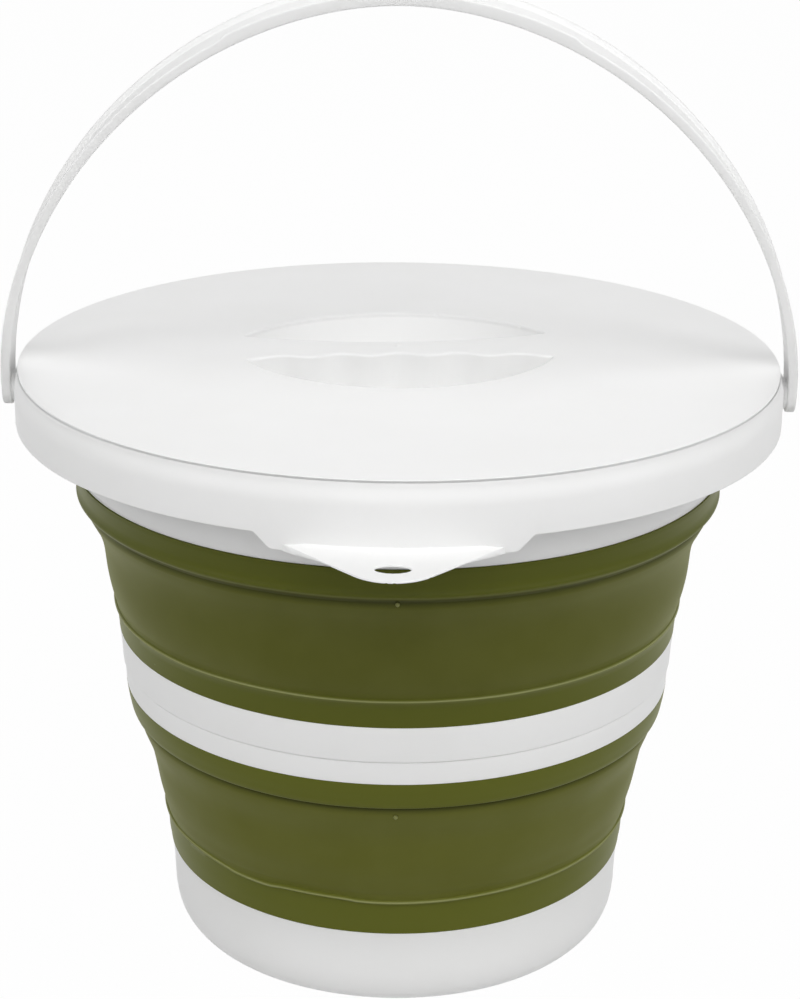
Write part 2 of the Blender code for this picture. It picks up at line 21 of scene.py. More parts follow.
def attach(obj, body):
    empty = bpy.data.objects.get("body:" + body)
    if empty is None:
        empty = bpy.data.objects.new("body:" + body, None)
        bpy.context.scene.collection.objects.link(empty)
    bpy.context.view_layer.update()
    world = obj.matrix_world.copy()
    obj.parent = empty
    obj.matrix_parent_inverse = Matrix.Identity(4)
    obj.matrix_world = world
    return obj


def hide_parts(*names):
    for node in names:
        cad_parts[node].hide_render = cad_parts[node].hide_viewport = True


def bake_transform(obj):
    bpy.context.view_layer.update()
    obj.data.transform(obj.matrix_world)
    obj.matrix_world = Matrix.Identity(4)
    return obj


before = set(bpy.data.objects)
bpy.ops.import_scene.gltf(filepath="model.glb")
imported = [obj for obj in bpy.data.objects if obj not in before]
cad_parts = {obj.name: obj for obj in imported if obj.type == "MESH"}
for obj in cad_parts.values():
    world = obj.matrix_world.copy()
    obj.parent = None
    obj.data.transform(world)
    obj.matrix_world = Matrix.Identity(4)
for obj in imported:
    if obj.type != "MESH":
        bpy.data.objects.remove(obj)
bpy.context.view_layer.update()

LOG = logging.getLogger("camp_bucket")

Flat = tuple[float, float]
Outline = Sequence[Flat]
Triple = tuple[float, float, float]
Colour = tuple[float, float, float, float]
Height = Callable[[np.ndarray], np.ndarray]
Given = dict[str | int, object]
Outputs = bpy.types.NodeOutputs
BMesh, BMVert = bmesh.types.BMesh, bmesh.types.BMVert

MATH, MIX = "ShaderNodeMath", "ShaderNodeMix"
NOISE, RANGE = "ShaderNodeTexNoise", "ShaderNodeMapRange"
RANGE_ENDS = ("From Min", "From Max", "To Min", "To Max")

MM = 0.001
FRONT = -math.pi / 2
# Corners nearer than this are one, and edges flatter than this angle are shaded smooth.
WELD = 0.002 * MM
SMOOTH_ANGLE = math.radians(34)
# A flat outline's corner that turns by more than this is rounded.
SHARP_TURN = math.radians(40)
# Largest share of a side that a rounding takes, least share of an offset that stays clear.
LARGEST_ROUND = 0.48
OFFSET_SLACK = 0.97

# Sizes that several pieces share: the tongues in the walls and the handle's bearings.
TONGUE_THICKNESS = 1.1
TONGUE_HEIGHT = 7.0
PIVOT_HEIGHT = 235.6
BOSS_FACE = 159.0
BOSS_DEPTH = 3.2


class Body(Enum):
    """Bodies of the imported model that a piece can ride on."""

    BASE = "base"
    MIDDLE = "middle"
    RIM = "rim"
    LID = "lid"
    HANDLE = "handle"


class Slot(Enum):
    """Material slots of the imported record."""

    WHITE = "white_plastic"
    OLIVE = "olive_rubber"


@dataclass(frozen=True)
class Bend:
    """One corner of a turned outline.

    rounding is the run of the curve that replaces the corner, band marks the stiff bands of a
    soft wall and its painted highlight and shade, and sway how far a corner follows a drift around
    the bucket.
    """

    radius: float
    height: float
    rounding: float = 0.0
    band: float = 0.0
    sway: float = 0.0


def srgb(code: str) -> Colour:
    """Turn an sRGB hex colour into linear RGBA.

    Args:
        code: Colour as "#RRGGBB".

    Returns:
        Linear red, green, blue and an alpha of 1.
    """
    parts = [int(code[start:start + 2], 16) / 255 for start in (1, 3, 5)]
    return (*(p / 12.92 if p <= 0.04045 else ((p + 0.055) / 1.055) ** 2.4 for p in parts), 1.0)


def per_metre(size_mm: float) -> float:
    """Scale of a pattern whose features are size_mm across."""
    return 1.0 / (size_mm * MM)


def wire(node: bpy.types.Node, given: Given) -> Outputs:
    """Give a node its settings and links.

    Args:
        node: Node that is set.
        given: A value, or the output that feeds it, for each attribute by its name and each
            input by its name or number.

    Returns:
        The node's outputs.
    """
    for name, value in given.items():
        if isinstance(value, NodeSocket):
            node.id_data.links.new(value, node.inputs[name])
        elif isinstance(name, str) and hasattr(node, name):
            setattr(node, name, value)
        else:
            node.inputs[name].default_value = value
    return node.outputs


def add_node(tree: NodeTree, kind: str, given: Given | None = None) -> Outputs:
    """Add a node with its settings and links.

    Args:
        tree: Tree that gets the node.
        kind: Type name of the node.
        given: Settings and links, as wire takes them.

    Returns:
        The new node's outputs.
    """
    return wire(tree.nodes.new(kind), given or {})


def smoothstep(low: float, high: float, value: np.ndarray | float) -> np.ndarray | float:
    """Return 0 below low, 1 above high and a soft ramp between them."""
    share = np.clip((value - low) / (high - low), 0.0, 1.0)
    return share * share * (3.0 - 2.0 * share)


def soft_ramp(share: float, soft: float) -> float:
    """Straight ramp from 0 to 1 whose two ends are rounded over a share of its length.

    Args:
        share: Place along the ramp, 0 at its start and 1 at its end.
        soft: Half the length of each rounded end.

    Returns:
        Height on the ramp, 0 to 1.
    """
    if share > 0.5:
        return 1 - soft_ramp(1 - share, soft)
    if share > soft:
        return share
    return max(share + soft, 0.0) ** 2 / (4 * soft)


def rounded_drop(distance: np.ndarray, radius: float) -> np.ndarray:
    """Drop of a rounded edge at a distance inside it, from the radius at the edge to nothing."""
    left = np.clip(radius - distance, 0.0, radius)
    return radius - np.sqrt(np.maximum(radius * radius - left * left, 0.0))


def corner_curve(start: Vector, corner: Vector, end: Vector, steps: int) -> list[Vector]:
    """Points of a curve that replaces a corner, both ends included."""
    points = []
    for step in range(steps + 1):
        share = step / steps
        left = 1 - share
        points.append(start * left ** 2 + corner * 2 * share * left + end * share ** 2)
    return points


def soften(outline: Sequence[Bend], steps: int = 4) -> list[Bend]:
    """Replace the corners of a closed outline that have a rounding by short curves.

    Args:
        outline: Corners in order. The last one joins the first.
        steps: Number of pieces in each curve.

    Returns:
        Corners without rounding, in the same order.
    """
    result: list[Bend] = []
    count = len(outline)
    for index, bend in enumerate(outline):
        if bend.rounding <= 0:
            result.append(bend)
            continue
        here = Vector((bend.radius, bend.height))
        ends = []
        for other in (outline[index - 1], outline[(index + 1) % count]):
            away = Vector((other.radius, other.height)) - here
            ends.append(here + away.normalized() * min(bend.rounding, LARGEST_ROUND * away.length))
        curve = corner_curve(ends[0], here, ends[1], steps)
        result += [Bend(point.x, point.y, 0.0, bend.band, bend.sway) for point in curve]
    return result


def smooth_run(points: Outline, steps: int, band: float = 0.0) -> list[Bend]:
    """Draw a smooth curve through measured points.

    Args:
        points: Pairs of radius and height.
        steps: Number of pieces between two points.
        band: Band mark of every corner of the curve.

    Returns:
        Corners on the curve, both ends included.
    """
    knots = np.array([points[0], *points, points[-1]])
    result = []
    for p0, p1, p2, p3 in zip(knots, knots[1:], knots[2:], knots[3:]):
        for step in range(steps):
            share = step / steps
            bow = (2 * p0 - 5 * p1 + 4 * p2 - p3) * share ** 2
            twist = (3 * p1 - p0 - 3 * p2 + p3) * share ** 3
            result.append(Bend(*(2 * p1 + (p2 - p0) * share + bow + twist) / 2, 0.0, band))
    return [*result, Bend(*points[-1], 0.0, band)]


def arc(centre: Flat, radius: float, start: float, end: float, steps: int) -> list[Flat]:
    """Points on an arc, both ends included."""
    x, y = centre
    turns = [start + (end - start) * step / steps for step in range(steps + 1)]
    return [(x + radius * math.cos(turn), y + radius * math.sin(turn)) for turn in turns]


def circle(radius: float, count: int, centre: Flat = (0.0, 0.0)) -> list[Flat]:
    """Points around a circle, the first on its +X side."""
    return arc(centre, radius, 0.0, math.tau, count)[:-1]


def link_object(name: str, data: bpy.types.ID) -> Object:
    """Put new data into the scene as an object."""
    item = bpy.data.objects.new(name, data)
    bpy.context.collection.objects.link(item)
    return item


def finish_mesh(bm: BMesh, mesh: Mesh) -> None:
    """Write a bmesh to a mesh with outward faces and smooth rounds, and free it."""
    bmesh.ops.recalc_face_normals(bm, faces=bm.faces)
    bm.to_mesh(mesh)
    bm.free()
    mesh.shade_smooth()
    mesh.set_sharp_from_angle(angle=SMOOTH_ANGLE)


def add_object(name: str, bm: BMesh, material: Material) -> Object:
    """Turn a bmesh into an object with welded seams.

    Args:
        name: Name of the piece.
        bm: Mesh in metres in the model's frame. It is freed.
        material: Finish of the piece.

    Returns:
        The new object, at the origin.
    """
    bmesh.ops.remove_doubles(bm, verts=bm.verts, dist=WELD)
    mesh = bpy.data.meshes.new(name)
    mesh.materials.append(material)
    finish_mesh(bm, mesh)
    return link_object(name, mesh)


def join_loops(bm: BMesh, upper: Sequence[BMVert], lower: Sequence[BMVert]) -> None:
    """Join two loops with the same number of corners by a wall."""
    count = len(upper)
    for index in range(count):
        following = (index + 1) % count
        bm.faces.new((upper[index], upper[following], lower[following], lower[index]))


def loft(bm: BMesh, rings: Iterable[Iterable[Vector]], capped: bool = False) -> None:
    """Join rings of the same number of points by faces.

    Args:
        bm: Mesh that gets the faces.
        rings: Closed rings of points, in order.
        capped: Whether the first and the last ring are filled, not joined.
    """
    made = [[bm.verts.new(point) for point in ring] for ring in rings]
    for near, far in zip(made, made[1:]):
        join_loops(bm, near, far)
    if capped:
        bm.faces.new(made[0])
        bm.faces.new(made[-1])
    else:
        join_loops(bm, made[-1], made[0])


def turn_at_both_sides(bm: BMesh, bends: Sequence[Bend], height: float, steps: int) -> None:
    """Turn a closed outline about a level axis, on the left and on the right.

    Args:
        bm: Mesh that gets the faces.
        bends: Corners with their radius about the axis and, as height, how far along it they
            are from the bucket's own axis.
        height: Height of the level axis in metres.
        steps: Number of faces around.
    """
    outline = [(bend.radius, bend.height) for bend in soften(bends)]
    for side in (-1, 1):
        loft(bm, [
            [
                Vector((side * out * MM, size * x * MM, height + size * y * MM))
                for size, out in outline
            ]
            for x, y in circle(1.0, steps)
        ])


def distance_to(outline: Outline, points: np.ndarray, longest: float = math.inf) -> np.ndarray:
    """Distance of each point from a closed outline.

    Args:
        outline: Corners of the outline.
        points: Array of x and y pairs.
        longest: Length above which a side doesn't count.

    Returns:
        One distance for each point.
    """
    starts = np.asarray(outline)
    runs = np.roll(starts, -1, axis=0) - starts
    best = np.full(len(points), np.inf)
    for start, run in zip(starts, runs):
        if np.hypot(*run) > longest:
            continue
        away = points - start
        share = np.clip((away @ run) / max(float(run @ run), 1e-18), 0.0, 1.0)
        best = np.minimum(best, np.linalg.norm(away - share[:, None] * run, axis=1))
    return best


def is_inside(outline: Outline, points: np.ndarray) -> np.ndarray:
    """Tell which points lie inside a closed outline."""
    inside = np.zeros(len(points), dtype=bool)
    for (x0, y0), (x1, y1) in zip(outline, [*outline[1:], outline[0]]):
        if y0 != y1:
            crosses = (y0 > points[:, 1]) != (y1 > points[:, 1])
            inside ^= crosses & (points[:, 0] < (x1 - x0) * (points[:, 1] - y0) / (y1 - y0) + x0)
    return inside


def clear_points(
    points: np.ndarray, outer: Outline | None, holes: Sequence[Outline], gap: float,
) -> np.ndarray:
    """Leave out points that are outside an area or too near its edges.

    Args:
        points: Array of x and y pairs.
        outer: Outline of the area, or None if all points are inside it.
        holes: Outlines of its holes.
        gap: Least distance from any of the outlines.

    Returns:
        The points that are left.
    """
    if outer is not None:
        points = points[is_inside(outer, points) & (distance_to(outer, points) > gap)]
    for hole in holes:
        points = points[~is_inside(hole, points) & (distance_to(hole, points) > gap)]
    return points


def offset_points(outline: Outline, distance: float) -> np.ndarray:
    """Points at a distance beside the corners of an outline, without those that come too near it.

    Args:
        outline: Corners of a closed outline that runs anticlockwise.
        distance: Distance to the outside, or to the inside if negative.

    Returns:
        Array of x and y pairs.
    """
    corners = np.asarray(outline)
    runs = np.roll(corners, -1, axis=0) - corners
    runs /= np.linalg.norm(runs, axis=1)[:, None]
    both = runs + np.roll(runs, 1, axis=0)
    both /= np.linalg.norm(both, axis=1)[:, None]
    moved = corners + distance * np.column_stack((both[:, 1], -both[:, 0]))
    return moved[distance_to(outline, moved) > OFFSET_SLACK * abs(distance)]


def thinned(points: np.ndarray, spacing: float) -> np.ndarray:
    """Leave out points that come nearer than a spacing to an earlier one."""
    kept: list[np.ndarray] = []
    cells: dict[tuple[int, int], list[int]] = {}
    for point in points:
        column, row = int(point[0] // spacing), int(point[1] // spacing)
        near = (cells.get((column + i, row + j), []) for i in (-1, 0, 1) for j in (-1, 0, 1))
        if all(np.hypot(*(point - kept[index])) >= spacing for group in near for index in group):
            cells.setdefault((column, row), []).append(len(kept))
            kept.append(point)
    return np.asarray(kept)


def add_sheet(
    bm: BMesh, loops: Sequence[Outline], fill: np.ndarray, height: Height,
) -> list[list[BMVert]]:
    """Fill the area inside the first loop and outside the others with a fine sheet.

    Args:
        bm: Mesh that gets the faces.
        loops: Closed outlines in metres: the outer one, then the holes.
        fill: Points inside the area.
        height: Gives the height of each point.

    Returns:
        The sheet's corners on each loop, in the loop's order.
    """
    places: list[Flat] = []
    edges: list[tuple[int, int]] = []
    numbers: list[range] = []
    for loop in loops:
        own = range(len(places), len(places) + len(loop))
        numbers.append(own)
        edges += zip(own, [*own[1:], own[0]])
        places += loop
    places += [tuple(point) for point in fill]
    spots = [Vector(place) for place in places]
    out, _, faces, origins, _, _ = delaunay_2d_cdt(spots, edges, [], 0, 1e-7)
    flat = np.array([(point.x, point.y) for point in out])
    corners = [bm.verts.new((x, y, top)) for (x, y), top in zip(flat, height(flat))]
    middles = np.array([flat[list(face)].mean(axis=0) for face in faces])
    wanted = is_inside(loops[0], middles)
    for hole in loops[1:]:
        wanted &= ~is_inside(hole, middles)
    for face, keep in zip(faces, wanted):
        if keep:
            bm.faces.new([corners[index] for index in face])
    found = {origin: index for index, group in enumerate(origins) for origin in group}
    result = [[corners[found[number]] for number in own] for own in numbers]
    for corner in corners:
        if not corner.link_faces:
            bm.verts.remove(corner)
    return result


def round_corners(outline: Outline, run: float = 2.0, steps: int = 5) -> list[Flat]:
    """Round the sharp corners of a closed flat outline.

    Args:
        outline: Corners of the outline.
        run: Length that each rounding takes from a corner's two sides.
        steps: Number of pieces in each rounding.

    Returns:
        Corners of the rounded outline.
    """
    count = len(outline)
    sharp = []
    for index in range(count):
        before, here, after = (Vector(outline[(index + shift) % count]) for shift in (-1, 0, 1))
        if (here - before).angle(after - here) > SHARP_TURN:
            sharp.append(index)
    result: list[Flat] = []
    for index in range(count):
        here = Vector(outline[index])
        if any(spot != index and (Vector(outline[spot]) - here).length < run for spot in sharp):
            continue
        if index not in sharp:
            result.append(tuple(here))
            continue
        ends = []
        for step in (-1, 1):
            place, left, spot = here, run, index
            while True:
                following = Vector(outline[(spot + step) % count])
                length = (following - place).length
                if length >= left:
                    ends.append(place + (following - place) * (left / length))
                    break
                place, left, spot = following, left - length, spot + step
        result += [tuple(point) for point in corner_curve(ends[0], here, ends[1], steps)]
    return result


class Finish:
    """Start of every finish: a material whose nodes read the piece's own coordinates."""

    name: str

    def make(self) -> Material:
        """Make the material.

        Returns:
            A material with one shader, fed by what the finish draws.
        """
        material = bpy.data.materials.new(self.name)
        material.use_nodes = True
        tree = material.node_tree
        place = add_node(tree, "ShaderNodeTexCoord")["Object"]
        wire(tree.nodes["Principled BSDF"], self.surface(tree, place))
        return material

    def surface(self, tree: NodeTree, place: NodeSocket) -> Given:
        """Draw the surface.

        Args:
            tree: The material's tree.
            place: Coordinates on the piece in metres.

        Returns:
            Values and outputs for the shader's inputs.
        """
        raise NotImplementedError


@dataclass(frozen=True)
class MouldedPolypropylene(Finish):
    """Injection-moulded polypropylene: opaque white, satin, duller in patches."""

    name: str = "white_moulded_polypropylene"
    body: str = "#F0F0F0"
    flow: str = "#ECECEB"
    flow_mm: float = 45.0
    smooth_roughness: float = 0.34
    dull_roughness: float = 0.42
    refraction: float = 1.49

    def surface(self, tree: NodeTree, place: NodeSocket) -> Given:
        """Draw a white that drifts slightly where the melt flowed, and a satin surface."""
        # The melt cools unevenly, so the white drifts by a shade over some centimetres. Where
        # it cooled slowly, the surface is a little duller.
        drift = add_node(tree, NOISE, {
            "Scale": per_metre(self.flow_mm), "Detail": 2.0, "Vector": place,
        })[0]
        tone = add_node(tree, MIX, {
            "data_type": "RGBA", 0: drift, 6: srgb(self.body), 7: srgb(self.flow),
        })
        rough = add_node(tree, RANGE, {
            "Value": drift, "To Min": self.smooth_roughness, "To Max": self.dull_roughness,
        })
        return {"Base Color": tone[2], "Roughness": rough[0], "IOR": self.refraction}


@dataclass(frozen=True)
class MouldedRubber(Finish):
    """Moulded thermoplastic rubber: olive, soft satin panels and smoother bands at the rings.

    The attribute band is 0 on a panel, 1 on a band, up to 2 where a highlight is painted pale
    and down to -1 where shade is painted dark into a crease.
    """

    name: str
    panel: str
    bands: str
    pale: str
    painted_highlight: str = "#8E9060"
    crease: str = "#2C2E0A"
    dust: str = "#A7A886"
    sheen: str = "#B2B56E"
    bloom: float = 0.2
    bloom_roughness: float = 0.5
    cloud_mm: float = 28.0
    grain_mm: float = 0.7
    grain_depth_mm: float = 0.03
    speck_mm: float = 24.0
    panel_roughness: float = 0.52
    band_roughness: float = 0.42
    refraction: float = 1.47
    gloss: float = 0.12

    def surface(self, tree: NodeTree, place: NodeSocket) -> Given:
        """Draw an olive with pale clouds, painted highlights and shade, a fine grain and a few dust
        specks.
        """
        band = add_node(tree, "ShaderNodeAttribute", {"attribute_name": "band"})["Fac"]
        clouds = add_node(tree, NOISE, {
            "Scale": per_metre(self.cloud_mm), "Detail": 3.0, "Roughness": 0.55, "Vector": place,
        })[0]
        specks = add_node(tree, "ShaderNodeTexVoronoi", {
            "Scale": per_metre(self.speck_mm), "Vector": place,
        })
        # Each layer's source, the ends of its range, the shares of the colour there, the colour.
        layers = (
            # Handling and mould release leave soft pale clouds on the rubber.
            (clouds, (0.35, 0.8, 0.0, 0.55), self.pale),
            (band, (0.0, 1.0, 0.0, 1.0), self.bands),
            # The fold's ledge and the gate marks get a painted highlight: pale where they catch the
            # light.
            (band, (1.0, 2.0, 0.0, 1.0), self.painted_highlight),
            # Painted shade: the creases under the shoulders are painted dark where shade falls.
            (band, (0.0, -1.0, 0.0, 1.0), self.crease),
            # A few specks of pale dust cling to the soft surface.
            (specks["Distance"], (0.008, 0.016, 0.4, 0.0), self.dust),
        )
        tone = srgb(self.panel)
        for source, ends, colour in layers:
            share = add_node(tree, RANGE, {"Value": source, **dict(zip(RANGE_ENDS, ends))})
            tone = add_node(tree, MIX, {
                "data_type": "RGBA", 0: share[0], 6: tone, 7: srgb(colour),
            })[2]
        rough = add_node(tree, RANGE, {
            "Value": band, "To Min": self.panel_roughness, "To Max": self.band_roughness,
        })
        # The mould is spark-eroded. Its grain, about 0.1 mm, is drawn coarser so that it shows.
        grain = add_node(tree, NOISE, {
            "Scale": per_metre(self.grain_mm), "Detail": 2.0, "Vector": place,
        })
        bump = add_node(tree, "ShaderNodeBump", {
            "Strength": 0.5, "Distance": self.grain_depth_mm * MM, "Height": grain[0],
        })
        # Soft-touch rubber has a faint bloom where it turns away from the eye.
        return {
            "Base Color": tone,
            "Roughness": rough[0],
            "Normal": bump[0],
            "IOR": self.refraction,
            "Specular IOR Level": self.gloss,
            "Sheen Weight": self.bloom,
            "Sheen Roughness": self.bloom_roughness,
            "Sheen Tint": srgb(self.sheen),
        }


def bake_nodes(item: Object) -> Object:
    """Replace an object's nodes by the plain mesh that they make, with outward faces.

    Args:
        item: Object with a Geometry Nodes modifier.

    Returns:
        The same object without the modifier.
    """
    graph = bpy.context.evaluated_depsgraph_get()
    mesh = bpy.data.meshes.new_from_object(item.evaluated_get(graph), depsgraph=graph)
    item.modifiers.clear()
    item.data = mesh
    bm = bmesh.new()
    bm.from_mesh(mesh)
    finish_mesh(bm, mesh)
    return item


class PieceTree:
    """Geometry Nodes tree with named inputs that makes a piece in a material."""

    inputs: dict[str, str]

    def __init__(self, name: str) -> None:
        """Build the tree.

        Args:
            name: Name of the tree.
        """
        self.tree = tree = bpy.data.node_groups.new(name, "GeometryNodeTree")
        self.sockets: dict[str, str] = {}
        for label, kind in self.inputs.items():
            kind = f"NodeSocket{kind}"
            socket = tree.interface.new_socket(label, in_out="INPUT", socket_type=kind)
            self.sockets[label] = socket.identifier
        tree.interface.new_socket("Mesh", in_out="OUTPUT", socket_type="NodeSocketGeometry")
        given = add_node(tree, "NodeGroupInput")
        real = add_node(tree, "GeometryNodeRealizeInstances", {0: self.shape(given)})
        dressed = add_node(tree, "GeometryNodeSetMaterial", {
            0: real[0], "Material": given["Material"],
        })
        add_node(tree, "NodeGroupOutput", {0: dressed[0]})

    def shape(self, given: Outputs) -> NodeSocket:
        """Add the nodes that make the shape.

        Args:
            given: The tree's inputs.

        Returns:
            The output with the shape.
        """
        raise NotImplementedError

    def run(self, name: str, mesh: Mesh, settings: dict[str, object]) -> Object:
        """Make a piece as a plain mesh.

        Args:
            name: Name of the piece.
            mesh: Mesh that the tree starts from.
            settings: Values by the name of an input.

        Returns:
            The piece, at the origin.
        """
        item = link_object(name, mesh)
        step = item.modifiers.new("shape", "NODES")
        step.node_group = self.tree
        for label, value in settings.items():
            step[self.sockets[label]] = value
        return bake_nodes(item)


class TurnTree(PieceTree):
    """Tree that turns a profile about the bucket's axis.

    The profile is the modified object's own mesh: points in the plane of X and Z with the
    attributes band and sway.
    """

    inputs = {
        "Profile": "Geometry", "Segments": "Int", "Drift": "Float", "Give": "Float",
        "Seed": "Float", "Material": "Material",
    }
    marks: tuple[str, str] = ("band", "sway")
    panel_scale: float = 14.0

    def __init__(self, name: str, wave: Outline = ()) -> None:
        """Build the tree.

        Args:
            name: Name of the tree.
            wave: Turns from the front in degrees, each with the rise that a swaying corner has
                there.
        """
        self.wave = wave
        super().__init__(name)

    def shape(self, given: Outputs) -> NodeSocket:
        """Add the nodes that turn the profile: a grid with a row for each of its corners."""
        tree, profile, segments = self.tree, given["Profile"], given["Segments"]
        size = add_node(tree, "GeometryNodeAttributeDomainSize", {"Geometry": profile})
        columns = add_node(tree, MATH, {"operation": "ADD", 0: segments, 1: 1.0})[0]
        grid = add_node(tree, "GeometryNodeMeshGrid", {
            "Vertices X": size["Point Count"], "Vertices Y": columns,
        })
        index = add_node(tree, "GeometryNodeInputIndex")[0]
        cut = add_node(tree, MATH, {"operation": "DIVIDE", 0: index, 1: columns})
        row = add_node(tree, MATH, {"operation": "FLOOR", 0: cut[0]})[0]
        column = add_node(tree, MATH, {"operation": "MODULO", 0: index, 1: columns})
        share = add_node(tree, MATH, {"operation": "DIVIDE", 0: column[0], 1: segments})[0]
        turn = add_node(tree, MATH, {"operation": "MULTIPLY", 0: share, 1: math.tau})[0]
        waves = ("COSINE", "SINE")
        ways = [add_node(tree, MATH, {"operation": wave, 0: turn})[0] for wave in waves]
        fields = [("FLOAT_VECTOR", add_node(tree, "GeometryNodeInputPosition"))]
        for mark in self.marks:
            fields.append(("FLOAT", add_node(tree, "GeometryNodeInputNamedAttribute", {
                "data_type": "FLOAT", "Name": mark,
            })))
        place, band, sway = (
            add_node(tree, "GeometryNodeSampleIndex", {
                "data_type": kind, "Geometry": profile, "Value": field[0], "Index": row,
            })[0]
            for kind, field in fields
        )
        corner = add_node(tree, "ShaderNodeSeparateXYZ", {0: place})
        tall = add_node(tree, MATH, {"operation": "MULTIPLY", 0: corner[2], 1: self.panel_scale})
        # A swaying corner wanders up and down around the bucket, and a soft panel bulges and
        # dips by some tenths of a millimetre. The stiff bands don't.
        wanders = []
        for amount, up, scale, detail in (("Drift", 0.0, 1.6, 2.0), ("Give", tall[0], 2.3, 1.0)):
            spot = add_node(tree, "ShaderNodeCombineXYZ", {0: ways[0], 1: ways[1], 2: up})
            noise = add_node(tree, NOISE, {
                "noise_dimensions": "4D", "Scale": scale, "Detail": detail, "Vector": spot[0],
                "W": given["Seed"],
            })
            level = add_node(tree, MATH, {"operation": "SUBTRACT", 0: noise[0], 1: 0.5})
            sized = add_node(tree, MATH, {"operation": "MULTIPLY", 0: level[0], 1: given[amount]})
            wanders.append(sized[0])
        rise, bulge = wanders
        if self.wave:
            rise = self.add_wave(share, rise)
        height = add_node(tree, MATH, {"operation": "MULTIPLY_ADD", 0: rise, 1: sway, 2: corner[2]})
        soft = add_node(tree, MATH, {"operation": "SUBTRACT", 0: 1.0, 1: band})
        radius = add_node(tree, MATH, {
            "operation": "MULTIPLY_ADD", 0: bulge, 1: soft[0], 2: corner[0],
        })[0]
        east, north = (
            add_node(tree, MATH, {"operation": "MULTIPLY", 0: radius, 1: way})[0] for way in ways
        )
        point = add_node(tree, "ShaderNodeCombineXYZ", {0: east, 1: north, 2: height[0]})
        marked = add_node(tree, "GeometryNodeStoreNamedAttribute", {
            "data_type": "FLOAT", "Name": "band", "Geometry": grid["Mesh"], "Value": band,
        })
        shaped = add_node(tree, "GeometryNodeSetPosition", {
            "Geometry": marked[0], "Position": point[0],
        })
        return add_node(tree, "GeometryNodeMergeByDistance", {
            "Geometry": shaped[0], "Distance": WELD,
        })[0]

    def add_wave(self, share: NodeSocket, rise: NodeSocket) -> NodeSocket:
        """Add the wave around the bucket to a rise.

        Args:
            share: Place around the bucket, 0 to 1 from +X.
            rise: Rise in metres that the wave's own is added to.

        Returns:
            The sum, in metres.
        """
        reach = 2 * max(abs(height) for _, height in self.wave)
        curve = add_node(self.tree, "ShaderNodeFloatCurve", {"Value": share})[0]
        mapping = curve.node.mapping
        line = mapping.curves[0].points
        line[0].location = (0.0, 0.5)
        line[1].location = (1.0, 0.5)
        front = 0.75
        for turn, height in self.wave:
            line.new(front + turn / 360.0, 0.5 + height / reach)
        mapping.update()
        level = add_node(self.tree, MATH, {"operation": "SUBTRACT", 0: curve, 1: 0.5})
        return add_node(self.tree, MATH, {
            "operation": "MULTIPLY_ADD", 0: level[0], 1: reach * MM, 2: rise,
        })[0]

    def make(
        self, name: str, outline: Sequence[Bend], material: Material, segments: int = 192,
        drift: float = 0.0, give: float = 0.0, seed: float = 0.0,
    ) -> Object:
        """Turn a closed outline into a plain mesh.

        Args:
            name: Name of the piece.
            outline: Corners of the outline. The last one joins the first.
            material: Finish of the piece.
            segments: Number of faces around.
            drift: Height by which swaying corners wander around the bucket.
            give: Depth by which the soft parts bulge and dip.
            seed: Choice of the wandering.

        Returns:
            The piece, at the origin.
        """
        corners = soften(outline)
        corners.append(corners[0])
        profile = bpy.data.meshes.new(name)
        profile.from_pydata([(bend.radius * MM, 0.0, bend.height * MM) for bend in corners], [], [])
        for mark in self.marks:
            values = profile.attributes.new(mark, "FLOAT", "POINT")
            values.data.foreach_set("value", [getattr(bend, mark) for bend in corners])
        return self.run(name, profile, {
            "Segments": segments, "Drift": drift * MM, "Give": give * MM, "Seed": seed,
            "Material": material,
        })


class MarkTree(PieceTree):
    """Tree that sets small round gate marks around the bucket."""

    inputs = {
        "Geometry": "Geometry", "Count": "Int", "Ring Radius": "Float", "Height": "Float",
        "Mark Radius": "Float", "Material": "Material",
    }
    # A mesh circle starts on +X, so it is turned back by about a quarter to put a mark in front.
    turned_back: Triple = (0.0, 0.0, math.radians(-89.4))
    # The marks' band paints them pale, a painted highlight on each small dome.
    band: float = 1.6

    def shape(self, given: Outputs) -> NodeSocket:
        """Add the nodes that set a flat ball on each corner of a ring."""
        tree = self.tree
        ring = add_node(tree, "GeometryNodeMeshCircle", {
            "Vertices": given["Count"], "Radius": given["Ring Radius"],
        })
        lift = add_node(tree, "ShaderNodeCombineXYZ", {2: given["Height"]})
        placed = add_node(tree, "GeometryNodeTransform", {
            0: ring[0], "Rotation": self.turned_back, "Translation": lift[0],
        })
        mark = add_node(tree, "GeometryNodeMeshUVSphere", {
            "Segments": 12, "Rings": 8, "Radius": given["Mark Radius"],
        })
        tinted = add_node(tree, "GeometryNodeStoreNamedAttribute", {
            "data_type": "FLOAT", "Name": "band", "Value": self.band, "Geometry": mark[0],
        })
        return add_node(tree, "GeometryNodeInstanceOnPoints", {
            "Points": placed[0], "Instance": tinted[0],
        })[0]

    def make(
        self, name: str, material: Material, radius: float, height: float, count: int,
        mark: float = 0.85,
    ) -> Object:
        """Set marks around the axis.

        Args:
            name: Name of the piece.
            material: Finish of the marks.
            radius: Radius of the ring of marks.
            height: Its height.
            count: Number of marks.
            mark: Radius of a mark.

        Returns:
            The marks as one piece, at the origin.
        """
        return self.run(name, bpy.data.meshes.new(name), {
            "Count": count, "Ring Radius": radius * MM, "Height": height * MM,
            "Mark Radius": mark * MM, "Material": material,
        })


def hand_over(item: Object, body: Body, node: str) -> None:
    """Let a white piece ride on a body and stand for a CAD node, and report it."""
    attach(item, body.value)
    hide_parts(node)
    LOG.info("%s rides on %s: %d faces", item.name, body.value, len(item.data.polygons))


